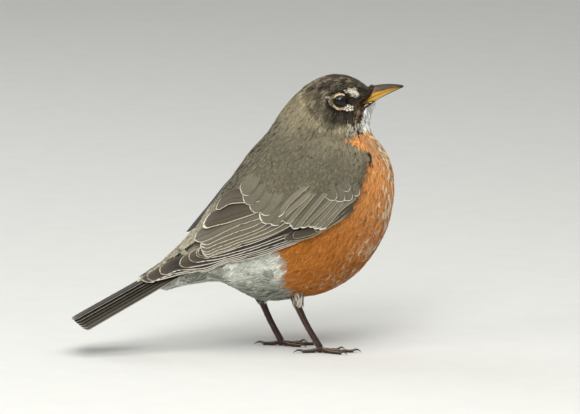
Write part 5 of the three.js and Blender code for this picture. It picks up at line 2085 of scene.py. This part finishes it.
def build_thigh(side, seed):
    """Loose feathers down the tibia, ending over the hock."""
    rng = np.random.default_rng(seed)
    top, foot = np.array(THIGH_TOP[side]), np.array(FOOT[side])
    hock = np.array(HOCK[side])
    low = hock + (foot - hock) * (hock[2] - THIGH_LOWEST[side]) / (hock[2] - foot[2])
    axis = unit(low - top)
    reach = np.linalg.norm(low - top)
    sideways = unit(np.cross(axis, (0, 1.0, 0)))
    third = np.cross(axis, sideways)
    verts, faces, shades, places, first = [], [], [], [], 0
    variants = [
        barb_template(barbs=5, looseness=0.35, sweep=0.7, contrast=0.2, rng=rng)
        for _ in range(THIGH_VARIANTS)
    ]
    for k in range(THIGH_FEATHERS):
        template, triangles = variants[k % len(variants)]
        length = rng.uniform(3.6, 6.4)
        down = min(rng.uniform(-0.1, 1.0) * reach, reach - length * 0.75)
        turn = rng.uniform(0, TAU)
        out = sideways * math.cos(turn) + third * math.sin(turn)
        over = np.cross(out, axis)
        radius = np.interp(down / reach, (0, 1), THIGH_RADII[side]) * rng.uniform(0.75, 1.0)
        root = top + axis * down + out * radius
        way = unit(axis - out * 0.22 + over * rng.normal(0, 0.16) + out * rng.normal(0, 0.08))
        x, y, lift, tone = template.T
        bent = out * 0.9 * (1 - (2 * x[:, None] - 0.8) ** 2)
        points = root + way * (x * length)[:, None] + over * (y * 0.9)[:, None]
        points = points + bent * 0.35 + out * (lift * 0.1)[:, None]
        colour = THIGH_TONES[side][rng.integers(4)] * math.exp(rng.normal(0, 0.12))
        verts.append(points)
        faces.append(triangles + first)
        shades.append(colour[None] * tone[:, None])
        turned_off = math.radians(THIGH_PLACE[1] + rng.uniform(-20, 20))
        spot = bake_place(THIGH_PLACE[0], turned_off * SIDES[side])
        spot = spot + (0, rng.uniform(-0.02, 0.02))
        places.append(patch(spot, x, y))
        first += len(template)
    new_mesh(f"coat_thigh_{side}", np.concatenate(verts), [np.concatenate(faces)], PLUMAGE, "thigh",
             np.concatenate(shades), on_map(np.concatenate(places)))


for number, side in enumerate(SIDES):
    build_thigh(side, 150 + number)


# ---- floor, light and camera --------------------------------------------------------------

def build_stage():
    mesh = bpy.data.meshes.new("floor")
    mesh.from_pydata([(-4, -4, 0), (4, -4, 0), (4, 6, 0), (-4, 6, 0)], [], [(0, 1, 2, 3)])
    floor = bpy.data.objects.new("floor", mesh)
    bpy.context.scene.collection.objects.link(floor)
    pale = material(
        "Floor", roughness=0.85, bump=0.1, bump_size=6.0,
        colour=(0.62, 0.62, 0.6), stain=(0.58, 0.58, 0.57), tint=0.02,
    )
    mesh.materials.append(pale)


LIT = Vector((0, 0, 0.08))  # the point that every lamp faces, in metres
LIGHTS = (
    # name, place in metres, size, watts, colour
    ("sky", (0.1, -0.55, 1.45), 1.3, 16, (1.0, 0.99, 0.95)),
    ("front", (-0.35, -1.2, 1.1), 0.7, 14, (1.0, 0.98, 0.94)),
    ("side", (-1.15, -0.55, 1.05), 0.45, 3, (1.0, 0.99, 0.95)),
    ("back", (-0.9, 1.0, 0.9), 1.0, 6, (0.93, 0.96, 1.0)),
)


def area_light(name, place, size, power, colour):
    lamp = bpy.data.lights.new(name, "AREA")
    lamp.shape = "DISK"
    lamp.size = size
    lamp.energy = power
    lamp.color = colour
    holder = bpy.data.objects.new(name, lamp)
    holder.location = place
    holder.rotation_euler = (LIT - Vector(place)).to_track_quat("-Z", "Y").to_euler()
    bpy.context.scene.collection.objects.link(holder)


VIEW_YAW = math.radians(8)
VIEW_RISE = math.radians(9)
VIEW_DISTANCE = 5.0
VIEW_WIDTH = 0.348  # of the picture, at the bird
VIEW_MIDDLE = (-6.0, 85.2)  # millimetres right and up from the source origin, in the view


def build_camera():
    right = Vector((math.cos(VIEW_YAW), -math.sin(VIEW_YAW), 0))
    back = Vector((
        -math.sin(VIEW_YAW) * math.cos(VIEW_RISE),
        -math.cos(VIEW_YAW) * math.cos(VIEW_RISE),
        math.sin(VIEW_RISE),
    ))
    up = back.cross(right)
    middle = right * VIEW_MIDDLE[0] + up * VIEW_MIDDLE[1] + Vector((SHIFT, 0, 0))
    lens = bpy.data.cameras.new("camera")
    lens.lens = lens.sensor_width * VIEW_DISTANCE / VIEW_WIDTH
    lens.clip_end = 50
    camera = bpy.data.objects.new("camera", lens)
    camera.matrix_world = Matrix.Translation(middle / 1000 + back * VIEW_DISTANCE) @ Matrix(
        (right, up, back)
    ).transposed().to_4x4()
    bpy.context.scene.collection.objects.link(camera)
    bpy.context.scene.camera = camera


build_stage()
build_camera()
for name, place, size, power, colour in LIGHTS:
    area_light(name, place, size, power, colour)
world = bpy.data.worlds.new("studio")
world.use_nodes = True
world.node_tree.nodes["Background"].inputs["Color"].default_value = (0.97, 0.98, 0.95, 1)
world.node_tree.nodes["Background"].inputs["Strength"].default_value = 0.5
bpy.context.scene.world = world
bpy.context.scene.view_settings.view_transform = "Standard"
